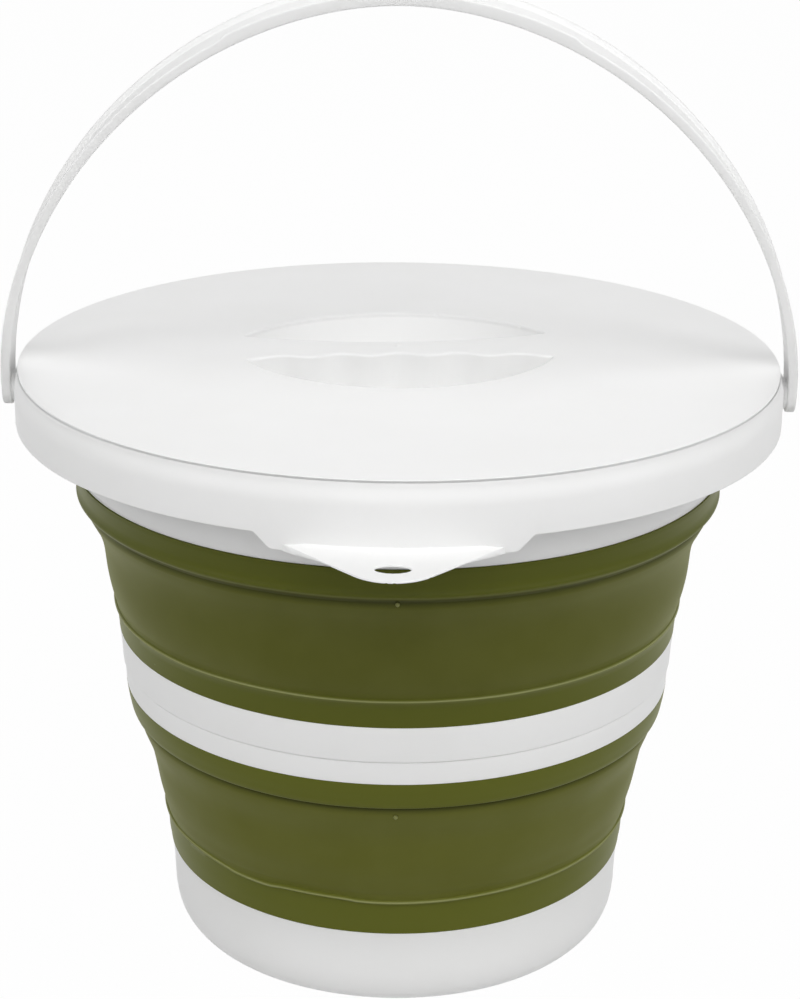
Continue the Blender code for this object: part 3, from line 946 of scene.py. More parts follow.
@dataclass
class BaseCup:
    """White cup at the foot, with a flat underside, a curved foot and the tongue in the wall."""

    foot_radius: float = 89.0
    height: float = 35.0
    wall: float = 2.5
    floor: float = 2.6
    side: tuple[Flat, ...] = (
        (91.2, 0.35), (93.4, 1.4), (95.7, 4.6), (97.0, 8.6), (97.6, 13.0), (97.8, 18.0),
        (97.95, 24.0), (98.3, 29.0), (98.8, 32.8), (99.2, 34.9),
    )
    knee: Flat = (97.6, 13.0)
    tongue_cover: float = 1.4
    groove_radius: float = 70.0
    groove_half: float = 4.0
    groove_depth: float = 0.8

    def outline(self) -> list[Bend]:
        """Closed outline from the middle of the underside, up the outside and down the inside."""
        outer = self.side[-1][0] - self.tongue_cover
        top = self.height + TONGUE_HEIGHT
        return [
            Bend(0.0, 0.0),
            Bend(self.groove_radius - self.groove_half, 0.0, 0.8),
            Bend(self.groove_radius, self.groove_depth, 1.0),
            Bend(self.groove_radius + self.groove_half, 0.0, 0.8),
            Bend(self.foot_radius - 1.5, 0.0, 1.0),
            *smooth_run(self.side, 3)[:-1],
            Bend(*self.side[-1], 0.25),
            Bend(outer, self.height),
            Bend(outer, top),
            Bend(outer - TONGUE_THICKNESS, top),
            Bend(self.knee[0] - self.wall, self.knee[1], 6.0),
            Bend(self.foot_radius - 1.0, self.floor, 9.0),
            Bend(0.0, self.floor),
        ]

    def build(self, turner: TurnTree, material: Material) -> None:
        """Make the cup and hand it over."""
        hand_over(turner.make("cup_shell", self.outline(), material), Body.BASE, "base_cup")


@dataclass
class FoldingWall:
    """Olive wall between two hard rings: stiff foot, fold, panel, fold and stiff shoulder.

    The corners of ledge and crease are radius, height and band.
    """

    name: str
    node: str
    lower_body: Body
    upper_body: Body
    bottom: float
    top: float
    foot: tuple[Flat, ...]
    ledge: tuple[Triple, ...]
    panel: tuple[Flat, ...]
    crease: tuple[Triple, ...]
    shoulder: tuple[Flat, ...]
    folds: Flat
    tongues: Flat
    ledge_drift: float
    give: float
    seed: float
    gate_height: float
    gate_radius: float
    gates: int = 4
    thickness: float = 2.1
    fold_thickness: Flat = (2.2, 2.0)
    seam: float = 0.06
    slack: float = 0.3

    def outline(self) -> list[Bend]:
        """Closed outline, up the outside and down the inside."""
        low, high = self.tongues
        low_slot = self.bottom + TONGUE_HEIGHT + self.slack
        high_slot = self.top - TONGUE_HEIGHT - self.slack
        return [
            Bend(self.foot[0][0], self.bottom + self.seam, 0.2, 1.0),
            *(Bend(radius, height, 0.0, 1.0) for radius, height in self.foot),
            # Ledge bands above 1 paint a pale highlight along the ledge.
            *(Bend(radius, height, 0.0, band, 1.0) for radius, height, band in self.ledge),
            *smooth_run(self.panel, 3),
            # Crease bands below 0 paint shade dark into the crease under the shoulder.
            *(Bend(radius, height, 0.0, band) for radius, height, band in self.crease),
            *smooth_run(self.shoulder, 3, 1.0),
            Bend(self.shoulder[-1][0] + 0.05, self.top - self.seam, 0.4, 1.0),
            Bend(high + self.slack, self.top - self.seam, 0.0, 1.0),
            Bend(high + self.slack, high_slot, 0.0, 1.0),
            Bend(high - TONGUE_THICKNESS, high_slot, 1.0, 1.0),
            Bend(self.crease[0][0] - self.fold_thickness[1], self.folds[1], 1.5),
            *(Bend(radius - self.thickness, height) for radius, height in self.panel[-2:0:-1]),
            Bend(self.foot[-1][0] - self.fold_thickness[0], self.folds[0], 1.5),
            Bend(low - TONGUE_THICKNESS, low_slot, 1.0, 1.0),
            Bend(low + self.slack, low_slot, 0.0, 1.0),
            Bend(low + self.slack, self.bottom + self.seam, 0.0, 1.0),
        ]

    def blend(self, item: Object) -> None:
        """Bake a piece's placement into its mesh and report the two bodies it lies between."""
        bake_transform(item)
        LOG.info("%s bends from %s to %s", item.name, self.lower_body.value, self.upper_body.value)

    def build(self, turner: TurnTree, marks: MarkTree, material: Material) -> None:
        """Make the wall and its gate marks, and hide the CAD wall that they stand for."""
        wall = turner.make(
            self.name, self.outline(), material, segments=256, drift=self.ledge_drift,
            give=self.give, seed=self.seed,
        )
        self.blend(wall)
        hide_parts(self.node)
        name = f"{self.name}_gates"
        self.blend(marks.make(name, material, self.gate_radius, self.gate_height, self.gates))


@dataclass
class MiddleRing:
    """White ring between the two walls, its upper half a hair wider, with hidden tongues.

    The corners of side are radius, height and rounding.
    """

    bottom: float = 111.1
    top: float = 136.3
    tongues: Flat = (113.85, 117.3)
    side: tuple[Triple, ...] = (
        (116.5, 111.1, 0.25), (116.95, 120.45, 0.2), (116.45, 120.85, 0.15), (116.5, 121.2, 0.0),
        (117.6, 121.3, 0.15), (117.95, 128.0, 0.0), (118.7, 136.3, 0.25),
    )

    def outline(self) -> list[Bend]:
        """Closed outline, up the outside and down the inside."""
        low, high = self.tongues
        foot, head = self.bottom - TONGUE_HEIGHT, self.top + TONGUE_HEIGHT
        return [
            Bend(low - TONGUE_THICKNESS, foot),
            Bend(low, foot),
            Bend(low, self.bottom),
            *(Bend(*corner) for corner in self.side),
            Bend(high, self.top),
            Bend(high, head),
            Bend(high - TONGUE_THICKNESS, head),
            Bend(high - TONGUE_THICKNESS, self.top - 1.0, 2.0),
            Bend(low - TONGUE_THICKNESS, self.bottom + 1.0, 2.0),
        ]

    def build(self, turner: TurnTree, material: Material) -> None:
        """Make the ring and hand it over."""
        hand_over(turner.make("middle_band", self.outline(), material), Body.MIDDLE, "mid_ring")


@dataclass
class RimFrame:
    """White rim: collar, flange, lid recess, deep skirt, front apron, hang tab and bosses.

    tab_fillet is the run and the climb of the tab's root, tab_fillet_ends where the climb fades
    towards the free edge, and tab_edges are the roundings on top, below and in the hole.
    """

    collar_bottom: float = 207.9
    collar_bottom_radius: float = 134.15
    collar_top_radius: float = 139.0
    collar_wall: float = 2.6
    tongue_radius: float = 133.15
    flange_bottom: float = 244.9
    flange_top: float = 247.1
    top: float = 249.25
    skirt_radius: float = 158.0
    skirt_round: tuple[Flat, ...] = (
        (0.0, 9.0), (0.05, 7.8), (0.2, 6.6), (0.45, 5.4), (0.78, 4.2), (1.12, 3.0), (1.36, 1.9),
        (1.48, 0.9), (1.53, 0.3), (1.57, 0.0),
    )
    skirt_wall: float = 2.0
    skirt_bottom: float = 227.9
    recess_radius: float = 156.38
    apron_bottom: float = 222.0
    apron_halves: Flat = (44.3, 50.3)
    apron_soft: float = 0.12
    tab_thickness: float = 2.6
    tab_half_width: float = 41.0
    tab_reach: float = 25.3
    tab_droop: float = 1.7
    tab_tip_thickness: float = 0.8
    tab_slim_run: float = 11.0
    tab_tip_radius: float = 20.0
    tab_hole: Flat = (13.2, 7.0)
    tab_hole_reach: float = 15.0
    tab_fillet: Flat = (1.8, 1.3)
    tab_fillet_ends: Flat = (0.2, 5.0)
    tab_edges: Triple = (0.35, 0.3, 0.2)
    longest_free_side: float = 20.0
    boss_radius: float = 8.0
    bore_radius: float = 4.3

    def outline(self) -> list[Bend]:
        """Closed outline of the rim. Corners with sway follow the apron's lower edge."""
        inner_skirt = self.skirt_radius - self.skirt_wall
        tongue_foot = self.collar_bottom - TONGUE_HEIGHT
        shoulder = [(self.skirt_radius - inset, self.top - low) for inset, low in self.skirt_round]
        return [
            Bend(self.tongue_radius - TONGUE_THICKNESS, tongue_foot),
            Bend(self.tongue_radius, tongue_foot),
            Bend(self.tongue_radius, self.collar_bottom),
            Bend(self.collar_bottom_radius, self.collar_bottom, 0.3),
            Bend(self.collar_top_radius, self.flange_bottom, 1.2),
            Bend(inner_skirt, self.flange_bottom, 1.0),
            Bend(inner_skirt, self.skirt_bottom, 0.5, 0.0, 1.0),
            Bend(self.skirt_radius, self.skirt_bottom, 0.7, 0.0, 1.0),
            *smooth_run(shoulder, 2),
            Bend(self.recess_radius, self.top, 0.15),
            Bend(self.recess_radius, self.flange_top),
            Bend(self.collar_top_radius - self.collar_wall, self.flange_top, 0.8),
        ]

    def drop(self, across: float) -> float:
        """How far the lower edge hangs below the plain skirt at a place across the front."""
        near, far = self.apron_halves
        share = (abs(across) - near) / (far - near)
        return (self.apron_bottom - self.skirt_bottom) * (1 - soft_ramp(share, self.apron_soft))

    def stations(self, segments: int = 192, fine_steps: int = 24) -> list[float]:
        """Turns from the front where the rim is cut, close together at the apron's ends."""
        turns = [math.tau * step / segments for step in range(segments)]
        near, far = (math.asin(half / self.skirt_radius) for half in self.apron_halves)
        slack = 0.4 * (far - near)
        low, high = near - slack, far + slack
        turns = [turn for turn in turns if not low < min(turn, math.tau - turn) < high]
        fine = [low + (high - low) * step / fine_steps for step in range(fine_steps + 1)]
        return sorted(turns + fine + [math.tau - turn for turn in fine])

    def shell(self, bm: BMesh) -> None:
        """Add the turned body with its apron."""
        outline = soften(self.outline())
        rings = []
        for turn in self.stations():
            ring = []
            for bend in outline:
                across, along = bend.radius * math.sin(turn), -bend.radius * math.cos(turn)
                drop = bend.sway * self.drop(across) if along < 0 else 0.0
                ring.append(Vector((across, along, bend.height + drop)) * MM)
            rings.append(ring)
        loft(bm, rings)

    def tab_outline(self, steps: int = 24) -> list[Flat]:
        """Outline of the tab seen from above, its root inside the skirt's wall, anticlockwise."""
        root = self.skirt_radius - 1.0
        turn = math.asin(self.tab_half_width / root)
        back = arc((0.0, 0.0), root, FRONT + turn, FRONT - turn, 36)
        centre = Vector((0.0, -self.skirt_radius - self.tab_reach + self.tab_tip_radius))
        reach = Vector(back[0]) - centre
        tangent = math.atan2(reach.y, reach.x) - math.acos(self.tab_tip_radius / reach.length)
        tip = arc(tuple(centre), self.tab_tip_radius, -math.pi - tangent, tangent, 20)
        outline: list[Flat] = []
        for part, end in ((back, tip[0]), (tip, back[0])):
            start = part[-1]
            outline += part
            for step in range(1, steps):
                outline.append(tuple(a + (b - a) * step / steps for a, b in zip(start, end)))
        return outline

    def tab(self, bm: BMesh) -> None:
        """Add the level hang tab with rounded edges, an oval hole and a fillet at its root."""
        outline = [(x * MM, y * MM) for x, y in self.tab_outline()]
        centre = -(self.skirt_radius + self.tab_hole_reach) * MM
        half = [size / 2 * MM for size in self.tab_hole]
        hole = [(half[0] * x, centre + half[1] * y) for x, y in circle(1.0, 48)]
        skirt = self.skirt_radius * MM
        top_edge, bottom_edge, hole_edge = (size * MM for size in self.tab_edges)
        run_out, climb = (size * MM for size in self.tab_fillet)
        fillet_ends = [size * MM for size in self.tab_fillet_ends]
        top = (self.apron_bottom + self.tab_thickness) * MM
        free = [point for point in outline if math.hypot(*point) > skirt]

        def rim_distance(points: np.ndarray) -> np.ndarray:
            """Distance from the tab's free edge, without the line across its root."""
            return distance_to(free, points, self.longest_free_side * MM)

        def upper(points: np.ndarray) -> np.ndarray:
            """Height of the top face, which droops a little towards the tip."""
            beyond = np.hypot(points[:, 0], points[:, 1]) - skirt
            away = np.clip(beyond, 0.0, run_out)
            free_edge = rim_distance(points)
            rise = climb * (1 - away / run_out) ** 2 * smoothstep(*fillet_ends, free_edge)
            drop = rounded_drop(free_edge, top_edge)
            drop += rounded_drop(distance_to(hole, points), hole_edge)
            return top + rise - drop - self.tab_droop * np.maximum(beyond, 0.0) / self.tab_reach

        def lower(points: np.ndarray) -> np.ndarray:
            """Height of the bottom face. The tab is thinner away from its root."""
            beyond = np.maximum(np.hypot(points[:, 0], points[:, 1]) - skirt, 0.0)
            slim = self.tab_thickness - self.tab_tip_thickness
            thinner = slim * smoothstep(0.0, self.tab_slim_run * MM, beyond) * MM
            thickness = self.tab_thickness * MM - thinner
            droop = self.tab_droop * beyond / self.tab_reach
            return top - thickness - droop + rounded_drop(rim_distance(points), bottom_edge)

        rings = [offset_points(outline, -distance * MM) for distance in (0.1, 0.2, 0.37, 0.8, 2.2)]
        rings += [offset_points(hole, distance * MM) for distance in (0.1, 0.22, 0.9, 2.0, 3.2)]
        span = math.asin(self.tab_half_width / self.skirt_radius)
        for share in (-0.1, 0.12, 0.3, 0.5, 0.75, 1.0, 1.4):
            rings.append(arc((0.0, 0.0), skirt + run_out * share, FRONT - span, FRONT + span, 40))
        rings.append([
            (x * MM, -y * MM) for x in np.arange(-42, 42.1, 2.5) for y in np.arange(150, 184, 2.5)
        ])
        fill = clear_points(np.vstack(rings), outline, [hole], gap=0.1 * MM)
        fill = thinned(fill, spacing=0.09 * MM)
        sheets = [add_sheet(bm, [outline, hole], fill, height) for height in (upper, lower)]
        for high, low in zip(*sheets):
            join_loops(bm, high, low)

    def bosses(self, bm: BMesh) -> None:
        """Add the two bored bosses that carry the handle."""
        inner = BOSS_FACE - BOSS_DEPTH
        turn_at_both_sides(bm, [
            Bend(self.bore_radius, inner, 0.2), Bend(self.boss_radius, inner, 0.4),
            Bend(self.boss_radius, BOSS_FACE, 0.4), Bend(self.bore_radius, BOSS_FACE, 0.3),
        ], PIVOT_HEIGHT * MM, 48)

    def build(self, material: Material) -> None:
        """Make the rim and hand it over."""
        bm = bmesh.new()
        self.shell(bm)
        self.tab(bm)
        self.bosses(bm)
        hand_over(add_object("rim_moulding", bm, material), Body.RIM, "rim_frame")


@dataclass
class Lid:
    """White lid: faintly ridged plate, two finger wells beside a scalloped grip bar, and a ring.

    well_walls gives, for the front and the back well, the distances over which the front and
    the back wall run round into the floor and the power of their curve. Each line of lines is
    its place across the plate at the sides, its swell in the middle and the swell's power, roll
    the fall of the edge and the share of the radius where it starts, and gate a small mark's
    place, spread and rise. well_steps are the distances from a well's edge that get points.
    """

    radius: float = 156.3
    seat: float = 247.4
    thickness: float = 3.2
    edge_round: float = 0.3
    undercut: Flat = (0.5, 249.3)
    crown: float = 2.2
    lines: tuple[Triple, Triple] = ((20.0, 44.0, 3.2), (10.0, -42.0, 1.8))
    line_soft: float = 0.3
    roll: Flat = (0.2, 0.93)
    well_floor: float = 231.6
    well_wall: float = 1.8
    well_lip: float = 1.1
    well_walls: tuple[Triple, Triple] = ((6.0, 4.0, 3.0), (5.0, 20.0, 1.6))
    well_steps: tuple[float, ...] = (
        0.12, 0.28, 0.48, 0.72, 1.04, 1.44, 1.92, 2.5, 3.2, 4.0, 5.5, 7.5, 10.0, 13.0,
    )
    front_reach: float = 53.3
    front_radius: float = 68.1
    back_reach: float = 56.4
    back_radius: float = 79.4
    back_end: float = 24.0
    bar_front: float = 11.0
    bar_back: float = 11.2
    bar_bow: float = 2.6
    turned: float = math.radians(4.2)
    scallop_pitch: float = 24.4
    scallop_depth: float = 3.6
    scallop_hollows: int = 5
    gate: tuple[float, float, float, float] = (-0.3, 4.4, 1.1, 0.7)
    ring_outer: float = 134.2
    ring_depth: float = 8.0
    ring_wall: float = 1.8
    ring_overlap: float = 0.4

    def front_outline(self) -> list[Flat]:
        """Outline of the front well: a round side and a scalloped side along the grip bar."""
        centre = self.front_radius - self.front_reach
        half_turn = math.acos((centre + self.bar_front) / self.front_radius)
        rounded = arc((0.0, centre), self.front_radius, FRONT - half_turn, FRONT + half_turn, 72)
        half = self.scallop_pitch * self.scallop_hollows / 2
        count = self.scallop_hollows * 16
        for step in range(1, count):
            across = half - 2 * half * step / count
            hollow = (1 + math.cos(math.tau * across / self.scallop_pitch)) / 2
            bow = self.bar_bow * (1 - (across / half) ** 2)
            rounded.append((across, -self.bar_front + bow + self.scallop_depth * hollow))
        return round_corners(rounded)

    def back_outline(self) -> list[Flat]:
        """Outline of the back well: two shallow arcs that meet beside the bar's ends."""
        far_centre = self.back_reach - self.back_radius
        half_width = math.sqrt(self.back_radius ** 2 - (self.back_end - far_centre) ** 2)
        sag = self.back_end - self.bar_back
        near_radius = (half_width ** 2 + sag ** 2) / (2 * sag)
        turn = math.asin(half_width / self.back_radius)
        far = arc((0.0, far_centre), self.back_radius, -FRONT - turn, -FRONT + turn, 72)
        turn = math.asin(half_width / near_radius)
        near = arc((0.0, self.bar_back + near_radius), near_radius, FRONT - turn, FRONT + turn, 60)
        return round_corners(far + near[1:-1])

    def top_height(self, points: np.ndarray) -> np.ndarray:
        """Height of the plate's top face: a flat lens across the middle and two slopes.

        Args:
            points: Array of x and y pairs in metres.

        Returns:
            One height in metres for each point.
        """
        x, y = points[:, 0] / MM, points[:, 1] / MM
        share = np.clip(np.abs(x) / (self.radius - 1.0), 0.0, 1.0)
        edge = np.sqrt(np.maximum(self.radius ** 2 - x ** 2, 0.0)) + 1e-6
        back_line, front_line = (
            side + swell * (1 - share ** power) for side, swell, power in self.lines
        )
        least = 2.0
        back = np.clip((y - back_line) / np.maximum(edge - back_line, least), 0.0, 1.0)
        front = np.clip((front_line - y) / np.maximum(edge + front_line, least), 0.0, 1.0)
        slope = np.maximum(back, front)
        soft = self.line_soft
        fall = np.where(slope < soft, slope * slope / (2 * soft), slope - soft / 2) / (1 - soft / 2)
        along = 1 - share ** 2
        roll = self.roll[0] * smoothstep(self.roll[1], 1.0, np.hypot(x, y) / self.radius)
        height = self.seat + self.thickness + self.crown * along * (1 - fall) - roll
        gate_x, gate_y, spread, rise = self.gate
        height += rise * np.exp(-((x - gate_x) ** 2 + (y - gate_y) ** 2) / spread ** 2)
        return height * MM

    def sheet_fill(self, outlines: Sequence[Outline], spacing: float, lip: bool) -> np.ndarray:
        """Points that fill the plate between its edge and the wells.

        Args:
            outlines: Outlines of the wells in metres.
            spacing: Distance between points in metres.
            lip: Whether the wells' edges and the plate's edge are rounded.

        Returns:
            Array of x and y pairs in metres.
        """
        radius = self.radius * MM
        parts = []
        if lip:
            insets = [self.edge_round * MM * share for share in (0.08, 0.25, 0.5, 0.75, 1.0)]
            parts += [circle(radius - inset, 360) for inset in (*insets, 2.0 * MM)]
            for outline in outlines:
                for share in (0.08, 0.25, 0.5, 0.75, 1.0, 1.6, 2.6):
                    parts.append(offset_points(outline, share * self.well_lip * MM))
            gate = (self.gate[0] * MM, self.gate[1] * MM)
            for share in (0.0, 0.3, 0.6, 0.9, 1.3, 1.8):
                parts.append(circle(share * self.gate[2] * MM, 16, gate))
        rings, margin, fewest = int(radius / spacing), 0.012, 6
        for ring in range(rings):
            reach = radius * (1 - margin) * (rings - ring) / rings
            parts.append(circle(reach, max(int(math.tau * reach / spacing), fewest)))
        fill = thinned(np.vstack(parts), spacing=0.05 * MM)
        return clear_points(fill, None, outlines, gap=0.05 * MM)

    def plate(self, bm: BMesh) -> None:
        """Add the plate with its two wells, as one closed shell."""
        outlines = (self.front_outline(), self.back_outline())
        wells = [[(x * MM, y * MM) for x, y in outline] for outline in outlines]
        tubs = [list(map(tuple, offset_points(well, self.well_wall * MM))) for well in wells]
        radius, edge, lip = self.radius * MM, self.edge_round * MM, self.well_lip * MM
        edge_loop = circle(radius, 360)

        def top(points: np.ndarray) -> np.ndarray:
            """Height of the top face with rounded edges."""
            drop = rounded_drop(radius - np.hypot(points[:, 0], points[:, 1]), edge)
            for well in wells:
                drop = drop + rounded_drop(distance_to(well, points), lip)
            return self.top_height(points) - drop

        def under(points: np.ndarray) -> np.ndarray:
            """Height of the underside."""
            return np.maximum(self.top_height(points) - self.thickness * MM, self.seat * MM)

        high = add_sheet(bm, [edge_loop, *wells], self.sheet_fill(wells, 3.4 * MM, lip=True), top)
        # The edge overhangs a little in front, which leaves a fine shaded line above the rim's lip.
        drawn_in = []
        for x, y in edge_loop:
            kept = 1 - self.undercut[0] * MM / radius * max(-y / radius, 0.0)
            drawn_in.append((x * kept, y * kept))
        low = add_sheet(bm, [drawn_in, *tubs], self.sheet_fill(tubs, 9.0 * MM, lip=False), under)
        middle = [bm.verts.new((x, y, self.undercut[1] * MM)) for x, y in drawn_in]
        join_loops(bm, high[0], middle)
        join_loops(bm, middle, low[0])
        floor = self.well_floor * MM
        for well, loop, wall in zip(wells, high[1:], self.well_walls):
            self.tub_floor(bm, well, loop, floor, wall)
        for tub, loop in zip(tubs, low[1:]):
            self.tub_floor(bm, tub, loop, floor - self.well_wall * MM, None)

    def tub_floor(
        self, bm: BMesh, outline: Outline, loop: list[BMVert], floor: float, wall: Triple | None,
    ) -> None:
        """Close a well by a sheet that runs round from wall to floor, or a tub by both of them.

        Args:
            bm: Mesh that gets the faces.
            outline: Outline of the floor.
            loop: Corners at the top of the wall, in the outline's order.
            floor: Height of the floor.
            wall: One entry of well_walls, or None for a tub.
        """
        corners = np.asarray(outline)
        low, high = corners.min(axis=0), corners.max(axis=0)
        steps = self.well_steps if wall else ()
        parts = [offset_points(outline, -step * MM) for step in steps]
        pitch, gap, lip = 3.0 * MM, 0.12 * MM, 0.3 * MM
        columns, rows = (np.arange(start, end, pitch) for start, end in zip(low, high))
        parts.append([(x, y) for x in columns for y in rows])
        fill = thinned(clear_points(np.vstack(parts), outline, [], gap), gap)
        rim = min(corner.co.z for corner in loop) - lip

        def height(points: np.ndarray) -> np.ndarray:
            """Height of the floor, which rises along the wall."""
            if wall is None:
                return np.full(len(points), floor)
            front, back, power = wall
            bowl = front + (back - front) * smoothstep(low[1], high[1], points[:, 1])
            left = 1 - np.clip(distance_to(outline, points) / (bowl * MM), 0.0, 1.0)
            return floor + (rim - floor) * left ** power

        join_loops(bm, loop, add_sheet(bm, [outline], fill, height)[0])

    def ring(self, bm: BMesh) -> None:
        """Add the locating ring under the plate."""
        outer, inner = self.ring_outer, self.ring_outer - self.ring_wall
        low, top = self.seat - self.ring_depth, self.seat + self.ring_overlap
        bends = soften([
            Bend(outer, top), Bend(outer, low, 0.5), Bend(inner, low, 0.5), Bend(inner, top),
        ])
        loft(bm, [
            [Vector((bend.radius * x, bend.radius * y, bend.height)) * MM for bend in bends]
            for x, y in circle(1.0, 180)
        ])

    def build(self, material: Material) -> None:
        """Make the lid, turn it a little in its seat and hand it over."""
        bm = bmesh.new()
        self.plate(bm)
        self.ring(bm)
        bmesh.ops.transform(bm, matrix=Matrix.Rotation(self.turned, 4, "Z"), verts=bm.verts)
        hand_over(add_object("lid_plate", bm, material), Body.LID, "lid")


@dataclass
class BailHandle:
    """White strap handle: a channel between two lips, flat rounded ends and snap-in pegs.

    lip_rounds are the roundings of the strap's edges, of the lips' inner edges and of the
    channel's corners.
    """

    half_span: float = 160.4
    rise: float = 170.0
    roundness_share: float = 0.945
    lean: float = math.radians(12.7)
    width: float = 20.0
    end_radius: float = 7.9
    end_turn: float = math.radians(87)
    end_bunching: float = 1.3
    end_steps: int = 18
    arch_steps: int = 160
    tangent_step: float = 0.004
    taper_height: float = 35.0
    floor: float = 2.1
    least_channel: float = 0.02
    lip_width: float = 2.4
    lip_slope: float = 0.9
    lip_rounds: Triple = (0.8, 0.7, 0.6)
    lip_height: float = 4.0
    grip_lip_height: float = 5.2
    grip_half_length: float = 64.0
    grip_step: float = 4.0
    end_round: float = 1.7
    foot_slim: float = 0.2
    pad_height: float = 13.0
    pad_runout: float = 8.0
    peg_radius: float = 4.0
    shoulder_radius: float = 6.5
    head_radius: float = 5.3
    head_length: float = 1.6
    head_bevel: float = 0.8
    head_gap: float = 0.3
    shoulder_gap: float = 0.2

    def arch(self, turn: float) -> Vector:
        """Point of the strap's inner face, from the right pivot over the top to the left."""
        power = 1 / self.roundness_share
        across = math.copysign(abs(math.cos(turn)) ** power, math.cos(turn))
        return Vector((self.half_span * across, 0.0, self.rise * abs(math.sin(turn)) ** power))

    def section(
        self, half_width: float, front_lip: float, floor: float, inset: float,
    ) -> list[Flat]:
        """Rounded cross-section of the strap as pairs of across and outwards.

        Args:
            half_width: Half the strap's width.
            front_lip: Height of the front lip. The back one doesn't rise in the grip.
            floor: Height of the channel's floor.
            inset: Distance by which both faces are drawn in.

        Returns:
            Corners of the section.
        """
        front_lip -= inset
        back_lip = self.lip_height - inset
        floor = min(floor, back_lip - self.least_channel, front_lip - self.least_channel)
        edge = half_width - min(self.lip_width, half_width / 3)
        foot = edge - min(self.lip_slope, half_width / 3)
        limits = (half_width / 4, half_width / 5, half_width / 5)
        tight, lip, channel = map(min, self.lip_rounds, limits)
        corners = [
            Bend(-half_width, inset, tight), Bend(half_width, inset, tight),
            Bend(half_width, back_lip, tight), Bend(edge, back_lip, lip),
            Bend(foot, floor, channel), Bend(-foot, floor, channel),
            Bend(-edge, front_lip, lip), Bend(-half_width, front_lip, tight),
        ]
        return [(bend.radius, bend.height) for bend in soften(corners, 3)]

    def stations(self) -> list[tuple[Vector, Vector, float, float, float, float]]:
        """Places along the strap from the right end to the left one.

        Returns:
            For each place a point, the outward direction, half the width, the heights of the
            front lip and of the channel's floor, and the inset of both faces.
        """
        places = []
        for step in range(self.end_steps):
            turn = self.end_turn * (1 - (step / self.end_steps) ** self.end_bunching)
            height = -self.end_radius * math.sin(turn)
            point = Vector((self.half_span, 0.0, height))
            half_width = self.end_radius * math.cos(turn)
            left = max(self.end_round - self.end_radius - height, 0.0)
            inset = self.end_round - math.sqrt(max(self.end_round ** 2 - left ** 2, 0.0))
            slim = self.foot_slim / 2
            point.x += slim
            outward = Vector((1.0, 0.0, 0.0))
            sizes = (half_width, self.lip_height, self.lip_height, max(inset, slim))
            places.append((point, outward, *sizes))
        for step in range(self.arch_steps // 2 + 1):
            turn = math.pi * step / self.arch_steps
            point = self.arch(turn)
            before, after = max(turn - self.tangent_step, 0.0), turn + self.tangent_step
            run = self.arch(after) - self.arch(before)
            outward = Vector((run.z, 0.0, -run.x)).normalized()
            widen = smoothstep(0.0, self.taper_height, point.z)
            half_width = self.end_radius + (self.width / 2 - self.end_radius) * widen
            grip_end = self.grip_half_length + self.grip_step
            grip = 1 - smoothstep(self.grip_half_length, grip_end, abs(point.x))
            lip_height = self.lip_height + (self.grip_lip_height - self.lip_height) * grip
            pad = 1 - smoothstep(self.pad_height, self.pad_height + self.pad_runout, point.z)
            floor = self.floor + (lip_height - self.least_channel - self.floor) * pad
            slim = self.foot_slim / 2 * (1 - widen)
            places.append((point + outward * slim, outward, half_width, lip_height, floor, slim))
        mirrored = [
            (Vector((-point.x, 0.0, point.z)), Vector((-out.x, 0.0, out.z)), *rest)
            for point, out, *rest in reversed(places[:-1])
        ]
        return places + mirrored

    def strap(self, bm: BMesh) -> None:
        """Add the strap, upright about its pivots."""
        loft(bm, [
            [
                (point + outward * out + Vector((0.0, across, 0.0))) * MM
                for across, out in self.section(*sizes)
            ]
            for point, outward, *sizes in self.stations()
        ], capped=True)

    def pegs(self, bm: BMesh) -> None:
        """Add a shoulder, a peg and a snap head on each side."""
        root = self.half_span + self.lip_height / 2
        behind, before = BOSS_FACE - BOSS_DEPTH - self.head_gap, BOSS_FACE + self.shoulder_gap
        tip = behind - self.head_length
        turn_at_both_sides(bm, [
            Bend(0.0, tip), Bend(self.head_radius - self.head_bevel, tip, 0.4),
            Bend(self.head_radius, behind, 0.3), Bend(self.peg_radius, behind),
            Bend(self.peg_radius, before), Bend(self.shoulder_radius, before, 0.3),
            Bend(self.shoulder_radius, root), Bend(0.0, root),
        ], 0.0, 40)

    def build(self, material: Material) -> None:
        """Make the handle, lean it forward and hand it over."""
        bm = bmesh.new()
        self.strap(bm)
        self.pegs(bm)
        lift = Matrix.Translation((0.0, 0.0, PIVOT_HEIGHT * MM))
        lean = Matrix.Rotation(self.lean, 4, "X")
        bmesh.ops.transform(bm, matrix=lift @ lean, verts=bm.verts)
        hand_over(add_object("bail_strap", bm, material), Body.HANDLE, "bail_handle")


@dataclass(frozen=True)
class Lamp:
    """A square soft box that lights white: where it stands, its size in metres and its power."""

    name: str
    place: Triple
    size: float
    watts: float


def aimed(place: Sequence[float], way: Vector) -> Matrix:
    """Matrix of a camera or lamp that stands at a place and looks along a way."""
    return Matrix.Translation(place) @ way.to_track_quat("-Z", "Y").to_matrix().to_4x4()


